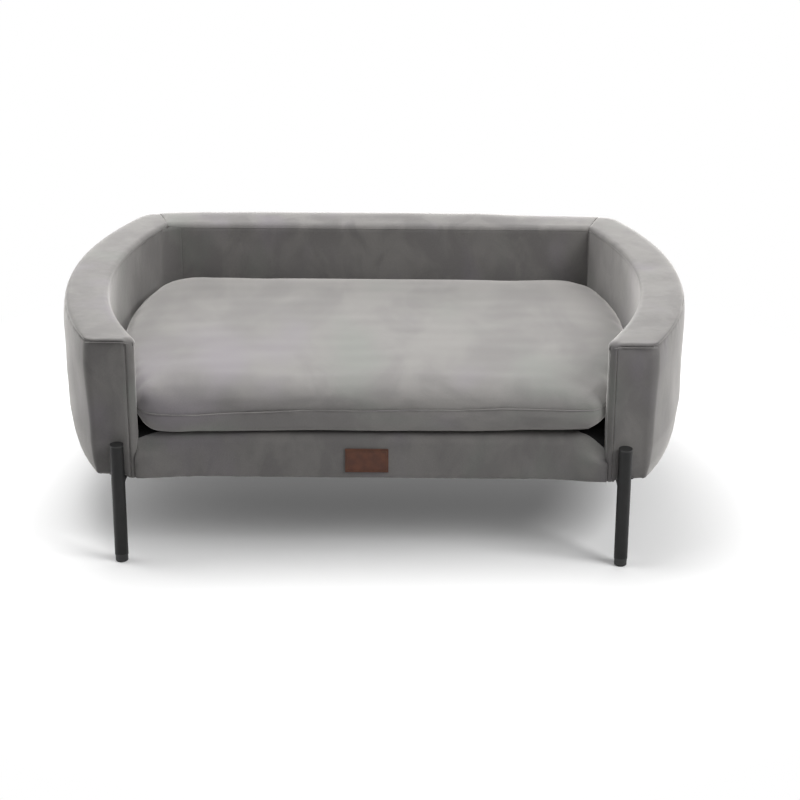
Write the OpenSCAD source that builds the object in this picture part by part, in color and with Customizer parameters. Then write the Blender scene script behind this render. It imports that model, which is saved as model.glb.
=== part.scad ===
// Dog sofa bed: a velvet tub with bowed arms on four tube legs, and a loose boxed cushion.
// Millimetres, +X to the viewer's right, +Y to the rear, +Z up; the origin is on the floor, under the middle.

/* [Body] */
// Widest gap between the two arms, about halfway back
seat_w = 772; // [640:1:920]
// Depth from the front of the arms to the rear face
body_d = 561; // [465:1:670]
// Height of the upholstered walls
wall_h = 204; // [165:1:245]
// Underside of the body above the floor
floor_gap = 124; // [100:1:150]
// Underside of the body up to the cloth of the seat
seat_h = 64; // [54:1:78]

/* [Walls] */
// Radius of the arms' inner faces in plan
arm_r = 525; // [435:1:640]
// How far in front of the middle the arms are widest
arm_shift = 16; // [0:1:30]
// Thickness of an arm
arm_t = 66; // [55:1:80]
// How far the outside of an arm draws in towards its foot
arm_lean = 12; // [6:0.5:14]
// Thickness of the back
back_t = 60; // [50:1:72]
// How far each rear seam leans outwards across the thickness of the back
seam_slant = 20; // [10:1:26]
// Radius of the outer rear corners in plan
corner_r = 30; // [22:1:36]
// Soft edge along the inside of the walls' tops
edge_in_r = 8; // [6:0.5:10]
// Soft edge along the outside of the walls' tops
edge_out_r = 12; // [9:0.5:15]

/* [Layers] */
// Velvet with its backing wadding
cover_t = 3; // [2:0.1:4]
// Foam under the velvet of the walls
foam_t = 12; // [9:0.5:15]
// Plywood of the frames
board_t = 12; // [9:0.5:15]
// Padded facing on the front of each arm
facing_t = 17; // [17:0.5:22]
// Soft upright edge of a facing, on the outside of its arm
facing_out_r = 16; // [12:0.5:16]
// Soft upright edge of a facing, on the inside of its arm
facing_in_r = 12; // [9:0.5:14]
// Clearance between two layers
lay_gap = 0.3; // [0.2:0.05:0.4]
// Cloth stapled over the underside
dust_cloth_t = 0.8; // [0.6:0.1:1.2]
// Black cloth over the seat deck
deck_cloth_t = 1.2; // [0.8:0.1:1.6]
// Plywood of the seat deck
deck_t = 8; // [6:0.5:10]

/* [Apron] */
// How far the apron is set back from the front of the arms
apron_recess = 6; // [4:0.5:8]
// Foam on the apron
apron_foam_t = 8; // [6:0.5:10]
// Rolled upper edge of the apron
apron_edge_r = 10; // [8:0.5:12]
// Width of the rails under the deck
rail_t = 20; // [16:1:24]
// Width of the leather patch
patch_w = 60; // [50:1:72]
// Height of the leather patch
patch_h = 35; // [28:1:42]
// Thickness of the leather patch
patch_t = 1.6; // [1.3:0.1:2]
// Middle of the patch, to the left of the middle of the bed
patch_shift = 6; // [0:1:10]

/* [Legs] */
// Outside diameter of a leg tube
tube_d = 19; // [16:0.5:22]
// Wall of a leg tube
tube_wall = 1.5; // [1.2:0.1:1.8]
// Height of a leg tube above the underside of the body
leg_rise = 54; // [44:1:64]
// Inner face of an arm's front end to the middle of a leg
leg_inset = 36; // [32:1:40]
// Thickness of a mounting plate
plate_t = 3; // [2.5:0.1:3.5]
// Width of a mounting plate
plate_w = 60; // [54:1:70]
// Depth of a mounting plate behind its tube
plate_d = 70; // [62:1:82]
// Length of the tongue between the tube and its plate
tongue_l = 14; // [12:1:17]
// Length of a gusset under its plate
gusset_l = 30; // [25:1:36]
// Height of a gusset on its tube
gusset_h = 12; // [10:0.5:14]
// Height of a levelling foot below its tube
foot_h = 10; // [8:0.5:12]
// Thread diameter of a levelling foot
stud_d = 8; // [7:0.5:9]
// Thread length of a levelling foot
stud_l = 26; // [22:1:30]
// Thread diameter of the bolts through a mounting plate
bolt_d = 6; // [5:0.5:7]

/* [Cushion] */
// Height of the cushion at its crown
cushion_h = 70; // [60:1:82]
// Gap between the cushion and the walls round it
cushion_gap = 8; // [7:0.5:10]
// Radius of the cushion's front corners in plan
cushion_front_r = 60; // [50:1:72]
// Radius of the cushion's rear corners in plan
cushion_rear_r = 75; // [62:1:90]
// Filling between the cushion's velvet and its foam block
fill_t = 16; // [14:0.5:19]
// Length of the zip along the cushion's rear
zip_l = 440; // [365:1:520]
// Width of the zip's tape
zip_w = 16; // [13:0.5:17]

/* [Hidden] */
$fn = 96;

// One overrun serves every cut
cut = 2;

// Places of the walls in plan; the right arm's arc is centred on arc_x0, arc_y0
front_y = -body_d / 2;
rear_y = body_d / 2;
inner_rear_y = rear_y - back_t;
arc_x0 = seat_w / 2 - arm_r;
arc_y0 = -arm_shift;
arm_out_r = arm_r + arm_t;
reach = seat_w + body_d;
front_half_w = arc_x(arm_r, front_y);
seam_in_x = arc_x(arm_r, inner_rear_y);
wall_top = floor_gap + wall_h;

// The outside of an arm is upright down to its shoulder and leans in below it
shoulder_share = 0.8;
shoulder_h = wall_h * shoulder_share;
arm_foot_r = arm_out_r - arm_lean;
edge_ease = 0.3;

// Where each layer of a wall begins, counted in from the velvet's face
foam_in = cover_t + lay_gap;
frame_in = foam_in + foam_t + lay_gap;
arm_front_y = front_y + facing_t + lay_gap;
seam_gap = lay_gap;

// Centres of a facing's upright edges
facing_outer = corner_centre(arm_out_r, front_y + facing_out_r, facing_out_r);
facing_inner = corner_centre(arm_r, front_y + facing_in_r, -facing_in_r);

// Heights of the base, from the floor up
cloth_z = floor_gap;
board_z = cloth_z + dust_cloth_t + lay_gap;
frame_z = board_z + board_t + lay_gap;
seat_z = floor_gap + seat_h;
deck_cloth_z = seat_z - lay_gap - deck_cloth_t;
deck_z = deck_cloth_z - lay_gap - deck_t;
rail_top = deck_z - lay_gap;

// Places of the apron and of the rails behind it
apron_y = front_y + apron_recess;
rail_y = apron_y + foam_in + apron_foam_t + lay_gap;
apron_end_y = rail_y + rail_t;
patch_middle_share = 0.44;
slat_w = 40;
slat_h = 18;
slat_places_share = [-0.34, 0, 0.34];
base_gap = 1;

// Posts of the frames; an arm's middle ones stand between the plates of its two legs
post_t = 18;
post_play = 4;
arm_posts_share = [0, 0.5, 0.85];
back_posts_share = [-0.45, 0, 0.45];
back_rail_h = 36;

// Places of the legs
leg_x = front_half_w + leg_inset;
leg_y = front_y - lay_gap - tube_d / 2;
rear_leg_y = rear_y + lay_gap + tube_d / 2;
leg_top = floor_gap + leg_rise;
plate_top = floor_gap - lay_gap;
plate_corner_r = 5;
plate_shift = 14;
plate_hole_x = 20;
plate_holes_share = [0.38, 0.82];
gusset_t = 3;
gusset_turn = 15;
tube_in_r = tube_d / 2 - tube_wall;
plug_play = 0.05;
plug_r = tube_in_r - plug_play;
cap_t = 2;
plug_l = 14;
flange_t = 2;
insert_l = 24;
tube_bottom = foot_h + lay_gap + flange_t;
foot_top_r = tube_d / 2 - 2 * lay_gap;
foot_edge = 1.2;
bolt_play = 0.1;
bolt_r = bolt_d / 2;
bolt_head_r_share = 0.9;
bolt_head_h_share = 0.55;
bolt_head_r = bolt_d * bolt_head_r_share;
bolt_head_h = bolt_d * bolt_head_h_share;
nut_wall = 1.1;
nut_barrel_r = bolt_r + nut_wall;
nut_flange_r = 3 * bolt_r;
nut_flange_t = 1.5;

// Wood screws that hold the frames to the base board
screw_r = 2;
screw_head_r = 4;
screw_l = 34;
screw_play = 0.1;
seam_screw_share = 0.3;
seam_bolt_heights_share = [0.3, 0.75];
seam_bolt_l = 50;

// Places of the cushion; its corner circles touch its side arcs and its straight edges
cushion_r = arm_r - cushion_gap;
cushion_z = seat_z + lay_gap;
cushion_set_back = 2;
cushion_front_y = front_y + cushion_set_back;
cushion_rear_y = inner_rear_y - cushion_gap;
front_corner = corner_centre(cushion_r, cushion_front_y + cushion_front_r, cushion_front_r);
rear_corner = corner_centre(cushion_r, cushion_rear_y - cushion_rear_r, cushion_rear_r);
front_turn = turn_to(front_corner);
rear_turn = turn_to(rear_corner);
// Side of the cushion as inset and height, both as shares of its height, from the underside to the crown
cushion_side_shares = [
    [0.19, 0], [0.085, 0.03], [0.025, 0.09], [0, 0.17], [0, 0.43], [0.006, 0.5], [0.024, 0.54],
    [0.008, 0.585], [0.045, 0.67], [0.12, 0.76], [0.27, 0.84], [0.5, 0.895]
];
// The crown inside the last of those rings, as shares of that ring's width
crown_shares = [0.86, 0.66, 0.42, 0.18];
cushion_foam_bottom_share = 0.1;
cushion_foam_top_share = 0.7;
line_steps = 6;
corner_steps = 6;
side_steps = 8;
zip_t = 1;
zip_slit = 4;
zip_coil_r = 1.3;
zip_height_share = 0.3;
slider_l = 14;
slider_w = 9;
slider_t = 3;
tab_l = 20;
tab_w = 7;
tab_t = 1.2;
tab_hole_r = 1.6;

// Where the arc of radius r round an arm's centre passes the depth y
function arc_x(r, y) = arc_x0 + sqrt(pow(r, 2) - pow(y - arc_y0, 2));

// Centre of a circle of radius r at depth y that touches the arc of radius side from inside, or from
// outside where r is negative
function corner_centre(side, y, r) = [arc_x(side - r, y), y];

// How far a soft edge of radius r at depth y has to tilt to follow the leaning outside of an arm
function lean_turn(y, r) = atan((arc_x(arm_out_r - r, y) - arc_x(arm_foot_r - r, y)) / shoulder_h);

// Direction from the arc's centre to a point
function turn_to(p) = atan2(p[1] - arc_y0, p[0] - arc_x0);

// Where the rear seam passes the depth y
function seam_x(y) = seam_in_x + seam_slant * (y - inner_rear_y) / back_t;

// What rounding takes off a corner, between the directions start and end
module corner_waste(centre, r, start, end) {
    wide = 2 * r + cut;
    mid = (start + end) / 2;
    translate(centre) difference() {
        polygon([
            [0, 0], [wide * cos(start), wide * sin(start)],
            [2 * wide * cos(mid), 2 * wide * sin(mid)], [wide * cos(end), wide * sin(end)]
        ]);
        circle(r);
    }
}

// Section of a wall t thick, drawn in by inset. It starts below the foot, leans in by lean at the foot
// and has soft edges at the top where a radius is left.
module wall_section(t, inset, lean) {
    w = t - inset;
    h = wall_h - inset;
    r_in = edge_in_r - inset;
    r_out = edge_out_r - inset;
    difference() {
        polygon([
            [inset, -cut], [w - lean * (1 + cut / shoulder_h), -cut], [w, shoulder_h], [w, h], [inset, h]
        ]);
        if (r_in > 0) corner_waste([inset + r_in, h - r_in], r_in, 90, 180);
        if (r_out > 0) corner_waste([w - r_out, h - r_out], r_out, 0, 90);
    }
}

// What a soft upright edge takes off the leaning outside of an arm
module leaning_waste(centre, r, start, end, turn) {
    linear_extrude(wall_top + cut) corner_waste(centre, r, start, end);
    translate([centre[0], centre[1], floor_gap + shoulder_h])
        rotate([0, turn, 0])
            translate([0, 0, -wall_h])
                linear_extrude(2 * wall_h)
                    corner_waste([0, 0], r, start, end);
}

// What rounding takes off the right-hand rear corner of a layer of the arm
module rear_corner_waste(inset) {
    y = rear_y - corner_r;
    centre = corner_centre(arm_out_r, y, corner_r);
    leaning_waste(centre, corner_r + edge_ease - inset, turn_to(centre), 90, lean_turn(y, corner_r));
}

// What rounding takes off the same corner at the foot
module foot_corner_waste(inset) {
    centre = corner_centre(arm_foot_r, rear_y - corner_r, corner_r);
    corner_waste(centre, corner_r - inset, turn_to(centre), 90);
}

// The stretch of its circle that the right arm takes up, from its front end to the rear seam, with the
// rear drawn in by inset
module arm_stretch(inset, front) {
    rear = rear_y - inset;
    deep = inner_rear_y - back_t;
    polygon([
        [0, front], [reach, front], [reach, rear],
        [seam_x(rear) + seam_gap, rear], [seam_x(deep) + seam_gap, deep], [0, deep]
    ]);
}

// The full circle that the right arm is a stretch of, with soft top edges. It starts opposite the arm,
// so that no face of the arm is cut in two.
module arm_ring(inset) {
    translate([arc_x0, arc_y0, floor_gap])
        rotate(180)
            rotate_extrude($fn = 240)
                translate([arm_r, 0])
                    wall_section(arm_t, inset, arm_lean);
}

// The right arm as one block, drawn in by inset and standing on the height foot
module arm_block(inset, foot, front) {
    difference() {
        intersection() {
            arm_ring(inset);
            translate([0, 0, foot]) linear_extrude(wall_h) arm_stretch(inset, front);
        }
        rear_corner_waste(inset);
    }
}

// The straight bar that the back is a stretch of
module back_bar(inset) {
    translate([-reach / 2, inner_rear_y, floor_gap])
        rotate([90, 0, 90])
            linear_extrude(reach)
                wall_section(back_t, inset, 0);
}

// The back as one block between its two leaning seams
module back_block(inset, foot) {
    near = inner_rear_y + inset;
    far = rear_y - inset;
    intersection() {
        back_bar(inset);
        translate([0, 0, foot])
            linear_extrude(wall_h)
                polygon([
                    [-seam_x(near) + seam_gap, near], [seam_x(near) - seam_gap, near],
                    [seam_x(far) - seam_gap, far], [-seam_x(far) + seam_gap, far]
                ]);
    }
}

// Plan of the whole body at its foot, drawn in by inset
module body_plan(inset, front) {
    difference() {
        intersection() {
            translate([arc_x0, arc_y0]) circle(arm_foot_r - inset, $fn = 240);
            translate([-arc_x0, arc_y0]) circle(arm_foot_r - inset, $fn = 240);
            translate([-reach / 2, front]) square([reach, rear_y - inset - front]);
        }
        foot_corner_waste(inset);
        mirror([1, 0, 0]) foot_corner_waste(inset);
    }
}

// Plan of the seat between the arms, drawn in by inset, from the depth near to the depth far
module seat_plan(inset, near, far) {
    intersection() {
        translate([arc_x0, arc_y0]) circle(arm_r - inset, $fn = 240);
        translate([-arc_x0, arc_y0]) circle(arm_r - inset, $fn = 240);
        translate([-reach / 2, near]) square([reach, far - near]);
    }
}

// Puts its children at each leg, facing inwards
module at_each_leg() {
    for (side = [-1, 1]) {
        at_leg(side, -1) children();
        at_leg(side, 1) children();
    }
}

// Puts a right-hand front leg's children at the side and end asked for
module at_leg(side, end) {
    translate([side * leg_x, end < 0 ? leg_y : rear_leg_y, 0])
        mirror([side < 0 ? 1 : 0, 0, 0])
            mirror([0, end < 0 ? 0 : 1, 0])
                children();
}

// Puts its children at each bolt of a right-hand front leg
module at_plate_bolts() {
    for (x = [-plate_hole_x, plate_hole_x], share = plate_holes_share)
        translate([x - plate_shift, tube_d / 2 + plate_d * share, 0]) children();
}

// Middle of the arm's thickness at the foot, at each of its middle posts
arm_middle_r = (arm_r + arm_foot_r) / 2;
first_post_y = leg_y + tube_d / 2 + plate_d + post_play;
last_plate_y = rear_leg_y - tube_d / 2 - plate_d;
arm_posts = [
    for (share = arm_posts_share)
        let (y = first_post_y + (last_plate_y - first_post_y) * share)
            [arc_x(arm_middle_r, y), y]
];

// Where the frames are screwed to the base board: the right arm's middle posts and the one beside its
// seam, the back's posts, and the rails under the ends of the slats
back_middle_y = inner_rear_y + back_t / 2;
seam_screw_y = inner_rear_y + back_t * seam_screw_share;
arm_screws = concat(arm_posts, [[seam_x(seam_screw_y) + post_t / 2, seam_screw_y]]);
back_screws = [for (share = back_posts_share) [share * seam_in_x, back_middle_y]];
rail_screws = [
    for (share = slat_places_share) [share * seat_w, rail_y + rail_t / 2],
    for (share = slat_places_share) [share * seat_w, inner_rear_y - base_gap - rail_t / 2]
];

// Puts its children at each wood screw in the base board
module at_screws() {
    for (p = concat(arm_screws, back_screws, rail_screws)) translate([p[0], p[1], board_z]) children();
    for (p = arm_screws) translate([-p[0], p[1], board_z]) children();
}

module frame_screw(play) {
    head_l = screw_head_r - screw_r;
    translate([0, 0, lay_gap]) cylinder(h = head_l, r1 = screw_head_r + play, r2 = screw_r + play);
    translate([0, 0, lay_gap]) cylinder(h = screw_l + play, r = screw_r + play);
}

// Waste over a screw's head, so that its sink opens at the underside of the board
module screw_sink() {
    translate([0, 0, -cut]) cylinder(h = cut + lay_gap, r = screw_head_r + screw_play);
    frame_screw(screw_play);
}

// Puts its children at the bolts that draw the right-hand seam together, along the seam's normal
module at_seam_bolts() {
    for (share = seam_bolt_heights_share)
        translate([seam_x(back_middle_y), back_middle_y, frame_z + (wall_top - frame_in - frame_z) * share])
            rotate([0, 90, -atan2(seam_slant, back_t)])
                children();
}

// Holes and sinks for the seam bolts, cut from both frames
module seam_bolt_holes() {
    at_seam_bolts()
        translate([0, 0, -seam_bolt_l / 2 - cut])
            cylinder(h = seam_bolt_l + 2 * cut, r = bolt_r + bolt_play);
}

// A bolt with its head inside the back frame and its nut inside the arm frame
module seam_bolt() {
    grip = post_t + seam_gap + lay_gap;
    translate([0, 0, -seam_bolt_l / 2]) cylinder(h = seam_bolt_l, r = bolt_r);
    translate([0, 0, -grip - bolt_head_h]) cylinder(h = bolt_head_h, r = bolt_head_r);
    translate([0, 0, grip]) cylinder(h = bolt_head_h, r = bolt_head_r, $fn = 6);
}

// Plywood

module base_board() {
    color("burlywood") difference() {
        translate([0, 0, board_z]) linear_extrude(board_t) body_plan(foam_in, arm_front_y);
        at_screws() screw_sink();
        at_each_leg() at_plate_bolts() leg_nut_hole();
    }
}

module base_rails() {
    near = rail_y;
    far = inner_rear_y - base_gap;
    high = rail_top - frame_z;
    color("burlywood") difference() {
        union() {
            translate([0, 0, frame_z]) linear_extrude(high) difference() {
                seat_plan(base_gap, near, far);
                seat_plan(base_gap + rail_t, near + rail_t, far - rail_t);
            }
            for (share = slat_places_share)
                translate([share * seat_w - slat_w / 2, near + rail_t / 2, rail_top - slat_h])
                    cube([slat_w, far - near - rail_t, slat_h]);
        }
        at_screws() screw_sink();
    }
}

module seat_deck() {
    color("burlywood")
        translate([0, 0, deck_z])
            linear_extrude(deck_t)
                seat_plan(base_gap, apron_end_y + lay_gap, inner_rear_y - base_gap);
}

// The right arm's frame: a curved foot plate and top plate on upright posts
module arm_frame() {
    high = wall_top - frame_in - frame_z;
    color("burlywood") difference() {
        intersection() {
            arm_block(frame_in, frame_z, arm_front_y);
            union() {
                translate([0, front_y, frame_z]) cube([reach, body_d, board_t]);
                translate([0, front_y, wall_top - frame_in - board_t]) cube([reach, body_d, board_t]);
                translate([0, arm_front_y - cut, frame_z]) cube([reach, post_t + cut, high]);
                for (p = arm_posts)
                    translate([arc_x0, arc_y0, frame_z])
                        rotate(turn_to(p))
                            translate([arm_r, -post_t / 2, 0])
                                cube([arm_t, post_t, high]);
                translate([0, 0, frame_z]) linear_extrude(high) seam_post_plan();
            }
        }
        at_screws() screw_sink();
        seam_bolt_holes();
    }
}

// The arm's post beside the rear seam, which leans with it
module seam_post_plan() {
    near = inner_rear_y - back_t;
    polygon([
        [seam_x(near), near], [seam_x(near) + post_t, near],
        [seam_x(rear_y) + post_t, rear_y], [seam_x(rear_y), rear_y]
    ]);
}

module back_frame() {
    high = wall_top - frame_in - frame_z;
    color("burlywood") difference() {
        intersection() {
            back_block(frame_in, frame_z);
            union() {
                translate([-reach / 2, inner_rear_y, frame_z]) cube([reach, back_t, back_rail_h]);
                translate([-reach / 2, inner_rear_y, wall_top - frame_in - back_rail_h])
                    cube([reach, back_t, back_rail_h]);
                for (share = back_posts_share)
                    translate([share * seam_in_x - post_t, inner_rear_y, frame_z])
                        cube([2 * post_t, back_t, high]);
                translate([0, 0, frame_z]) linear_extrude(high) {
                    translate([-post_t, 0]) seam_post_plan();
                    mirror([1, 0, 0]) translate([-post_t, 0]) seam_post_plan();
                }
            }
        }
        at_screws() screw_sink();
        seam_bolt_holes();
        mirror([1, 0, 0]) seam_bolt_holes();
        at_seam_bolts() bolt_head_space();
        mirror([1, 0, 0]) at_seam_bolts() bolt_head_space();
    }
}

// Room for a seam bolt's head between the post it grips and the next one
module bolt_head_space() {
    grip = post_t + seam_gap + lay_gap;
    translate([0, 0, -grip - 2 * bolt_head_h])
        cylinder(h = 2 * bolt_head_h + lay_gap, r = bolt_head_r + lay_gap);
}

// Soft layers

module arm_foam() {
    color("ivory") difference() {
        arm_block(foam_in, frame_z, arm_front_y);
        arm_core(frame_in - lay_gap);
    }
}

// The hollow of a layer round the arm: open at the foot, the front end and the seam
module arm_core(inset) {
    far = rear_y - inset;
    deep = inner_rear_y - back_t;
    difference() {
        intersection() {
            arm_ring(inset);
            linear_extrude(wall_top)
                polygon([
                    [0, front_y], [reach, front_y], [reach, far],
                    [seam_x(far) - cut, far], [seam_x(deep) - cut, deep], [0, deep]
                ]);
        }
        rear_corner_waste(inset);
    }
}

// Room for the base board and its screws, below the inner faces of the covers
module base_space() {
    translate([0, 0, -cut]) linear_extrude(frame_z + cut) body_plan(foam_in, front_y);
}

module arm_cover() {
    color("dimgray") difference() {
        arm_block(0, floor_gap, arm_front_y);
        arm_core(cover_t);
        base_space();
    }
}

// Padded facing that closes the front end of the right arm
module arm_facing() {
    start = turn_to(facing_outer);
    turn = lean_turn(facing_outer[1], facing_out_r);
    color("dimgray") difference() {
        intersection() {
            arm_ring(0);
            translate([0, 0, floor_gap]) linear_extrude(wall_h) difference() {
                translate([0, front_y]) square([reach, facing_t]);
                facing_inner_waste(facing_in_r);
            }
        }
        leaning_waste(facing_outer, facing_out_r + edge_ease, -90, start, turn);
    }
}

// What rounding takes off the inner upright edge of a facing
module facing_inner_waste(r) {
    corner_waste(facing_inner, r, turn_to(facing_inner) + 180, 270);
}

// A layer round the back, open at the foot and at both seams
module back_layer(outer, inner, foot) {
    difference() {
        back_block(outer, foot);
        back_bar(inner);
    }
}

module back_foam() {
    color("ivory") back_layer(foam_in, frame_in - lay_gap, frame_z);
}

module back_cover() {
    color("dimgray") difference() {
        back_layer(0, cover_t, floor_gap);
        base_space();
    }
}

// The apron's front and rolled top, as the profile of a layer drawn in by inset, t thick at the front
// and top_t thick above
module apron_profile(inset, t, top_t) {
    r = apron_edge_r - inset;
    deep = apron_end_y - apron_y - inset;
    high = seat_z - inset - floor_gap;
    foot = inset > 0 ? frame_z - floor_gap : 0;
    difference() {
        union() {
            translate([inset, foot]) square([deep - r, high - r - foot]);
            translate([inset + r, foot]) square([deep - r, high - foot]);
            translate([inset + r, high - r]) circle(r);
        }
        translate([inset + t, -cut]) square([deep + cut, high - top_t + cut]);
    }
}

// The apron's plan, whose ends follow the arms and reach round the soft edges of the facings
module apron_plan() {
    seat_plan(lay_gap, apron_y, apron_end_y);
    for (side = [0, 1]) {
        mirror([side, 0, 0]) intersection() {
            facing_inner_waste(facing_in_r + lay_gap);
            translate([0, apron_y]) square([reach, apron_end_y - apron_y]);
        }
    }
}

module apron_layer(inset, t, top_t) {
    intersection() {
        translate([-reach / 2, apron_y, floor_gap])
            rotate([90, 0, 90])
                linear_extrude(reach)
                    apron_profile(inset, t, top_t);
        translate([0, 0, floor_gap]) linear_extrude(seat_h) apron_plan();
    }
}

module apron_foam() {
    color("ivory") apron_layer(foam_in, apron_foam_t, seat_z - foam_in - deck_z);
}

module apron_cover() {
    color("dimgray") apron_layer(0, cover_t, cover_t);
}

module dust_cloth() {
    color("black") difference() {
        translate([0, 0, cloth_z]) linear_extrude(dust_cloth_t) body_plan(foam_in, arm_front_y);
        at_each_leg() at_plate_bolts()
            translate([0, 0, cloth_z - cut])
                cylinder(h = 2 * cut + dust_cloth_t, r = bolt_r + bolt_play);
    }
}

module deck_cloth() {
    color("black")
        translate([0, 0, deck_cloth_z])
            linear_extrude(deck_cloth_t)
                seat_plan(base_gap, apron_end_y + lay_gap, inner_rear_y - base_gap);
}

module leather_patch() {
    middle_z = floor_gap + seat_h * patch_middle_share;
    color("sienna")
        translate([-patch_shift - patch_w / 2, apron_y - lay_gap - patch_t, middle_z - patch_h / 2])
            cube([patch_w, patch_t, patch_h]);
}

// Legs

// One welded leg, drawn as the right-hand front one with its tube on the origin
module leg() {
    gusset_end = tube_d / 2 + gusset_l;
    color("black") difference() {
        union() {
            translate([0, 0, tube_bottom]) cylinder(h = leg_top - cap_t - tube_bottom, d = tube_d);
            translate([0, 0, plate_top - plate_t]) linear_extrude(plate_t) plate_outline();
            translate([0, 0, plate_top - plate_t])
                rotate([90, 0, 90 + gusset_turn])
                    translate([0, 0, -gusset_t / 2])
                        linear_extrude(gusset_t)
                            polygon([
                                [0, plate_t / 2], [gusset_end, plate_t / 2], [gusset_end, 0],
                                [tube_d / 2, -gusset_h], [0, -gusset_h]
                            ]);
        }
        cylinder(h = leg_top + cut, r = tube_in_r);
        at_plate_bolts() cylinder(h = leg_top, r = bolt_r + bolt_play);
    }
}

// A mounting plate: a tongue from the tube that widens to a plate with round corners
module plate_outline() {
    near = tube_d / 2 + tongue_l;
    far = tube_d / 2 + plate_d;
    r = plate_corner_r;
    half = plate_w / 2;
    translate([-tube_d / 2, 0]) square([tube_d, near + r]);
    translate([-plate_shift, 0]) {
        translate([-half, near + r]) square([plate_w, far - near - 2 * r]);
        translate([-half + r, near]) square([plate_w - 2 * r, far - near]);
        for (x = [-half + r, half - r], y = [near + r, far - r]) translate([x, y]) circle(r);
    }
}

module tube_cap() {
    color("black") {
        translate([0, 0, leg_top - cap_t]) cylinder(h = cap_t, d = tube_d);
        translate([0, 0, leg_top - cap_t - plug_l]) cylinder(h = plug_l + cap_t / 2, r = plug_r);
    }
}

module foot_insert() {
    color("black") difference() {
        union() {
            translate([0, 0, tube_bottom - flange_t]) cylinder(h = flange_t, d = tube_d);
            translate([0, 0, tube_bottom - flange_t / 2]) cylinder(h = insert_l, r = plug_r);
        }
        cylinder(h = leg_top, r = stud_d / 2 + plug_play);
    }
}

module levelling_foot() {
    color("black") {
        cylinder(h = foot_edge, r1 = foot_top_r - foot_edge, r2 = foot_top_r);
        translate([0, 0, foot_edge]) cylinder(h = foot_h - foot_edge, r = foot_top_r);
        translate([0, 0, foot_h / 2]) cylinder(h = foot_h / 2 + stud_l, d = stud_d);
    }
}

// Room for a leg bolt and its T-nut through the base board
module leg_nut_hole() {
    translate([0, 0, board_z - cut]) cylinder(h = board_t + 2 * cut, r = nut_barrel_r + bolt_play);
    translate([0, 0, board_z + board_t - nut_flange_t - lay_gap])
        cylinder(h = cut + nut_flange_t + lay_gap, r = nut_flange_r + lay_gap);
}

module leg_bolts() {
    head_z = plate_top - plate_t - bolt_head_h - lay_gap;
    color("silver") at_each_leg() at_plate_bolts() {
        translate([0, 0, head_z]) cylinder(h = bolt_head_h, r = bolt_head_r);
        translate([0, 0, head_z]) cylinder(h = board_z + board_t - lay_gap - head_z, r = bolt_r);
    }
}

module leg_t_nuts() {
    top = board_z + board_t - lay_gap;
    color("silver") at_each_leg() at_plate_bolts() difference() {
        union() {
            translate([0, 0, top - nut_flange_t]) cylinder(h = nut_flange_t, r = nut_flange_r);
            translate([0, 0, board_z + lay_gap]) cylinder(h = top - board_z - lay_gap, r = nut_barrel_r);
        }
        translate([0, 0, board_z - cut]) cylinder(h = board_t + 2 * cut, r = bolt_r + plug_play);
    }
}

module frame_screws() {
    color("silver") at_screws() frame_screw(0);
}

module seam_bolts() {
    color("silver") {
        at_seam_bolts() seam_bolt();
        mirror([1, 0, 0]) at_seam_bolts() seam_bolt();
    }
}

// Cushion

// The cushion's outline once round, each point as a centre, a radius and a direction, so that a smaller
// radius draws the same outline in by the same amount everywhere
outline = concat(
    [for (i = [0 : line_steps]) [
        front_corner[0] * (2 * i / line_steps - 1), front_corner[1], cushion_front_r, -90
    ]],
    [for (i = [1 : corner_steps]) [
        front_corner[0], front_corner[1], cushion_front_r, -90 + (front_turn + 90) * i / corner_steps
    ]],
    [for (i = [1 : side_steps]) [
        arc_x0, arc_y0, cushion_r, front_turn + (rear_turn - front_turn) * i / side_steps
    ]],
    [for (i = [1 : corner_steps]) [
        rear_corner[0], rear_corner[1], cushion_rear_r, rear_turn + (90 - rear_turn) * i / corner_steps
    ]],
    [for (i = [1 : line_steps]) [
        rear_corner[0] * (1 - 2 * i / line_steps), rear_corner[1], cushion_rear_r, 90
    ]],
    [for (i = [1 : corner_steps]) [
        -rear_corner[0], rear_corner[1], cushion_rear_r, 90 + (90 - rear_turn) * i / corner_steps
    ]],
    [for (i = [1 : side_steps]) [
        -arc_x0, arc_y0, cushion_r, 180 - rear_turn + (rear_turn - front_turn) * i / side_steps
    ]],
    [for (i = [1 : corner_steps - 1]) [
        -front_corner[0], front_corner[1], cushion_front_r,
        180 - front_turn + (90 + front_turn) * i / corner_steps
    ]]
);

function ring(inset, z) = [
    for (p = outline) [p[0] + (p[2] - inset) * cos(p[3]), p[1] + (p[2] - inset) * sin(p[3]), z]
];

// A ring inside the last one of the sides, drawn in towards the cushion's middle
function crown_ring(share) = let (
    edge = cushion_side_shares[len(cushion_side_shares) - 1],
    middle_y = (cushion_front_y + cushion_rear_y) / 2,
    z = cushion_z + cushion_h * (edge[1] + (1 - edge[1]) * (1 - pow(share, 2)))
) [
    for (p = ring(edge[0] * cushion_h, z)) [p[0] * share, middle_y + (p[1] - middle_y) * share, z]
];

function flatten(lists) = [for (l = lists) each l];

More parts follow.
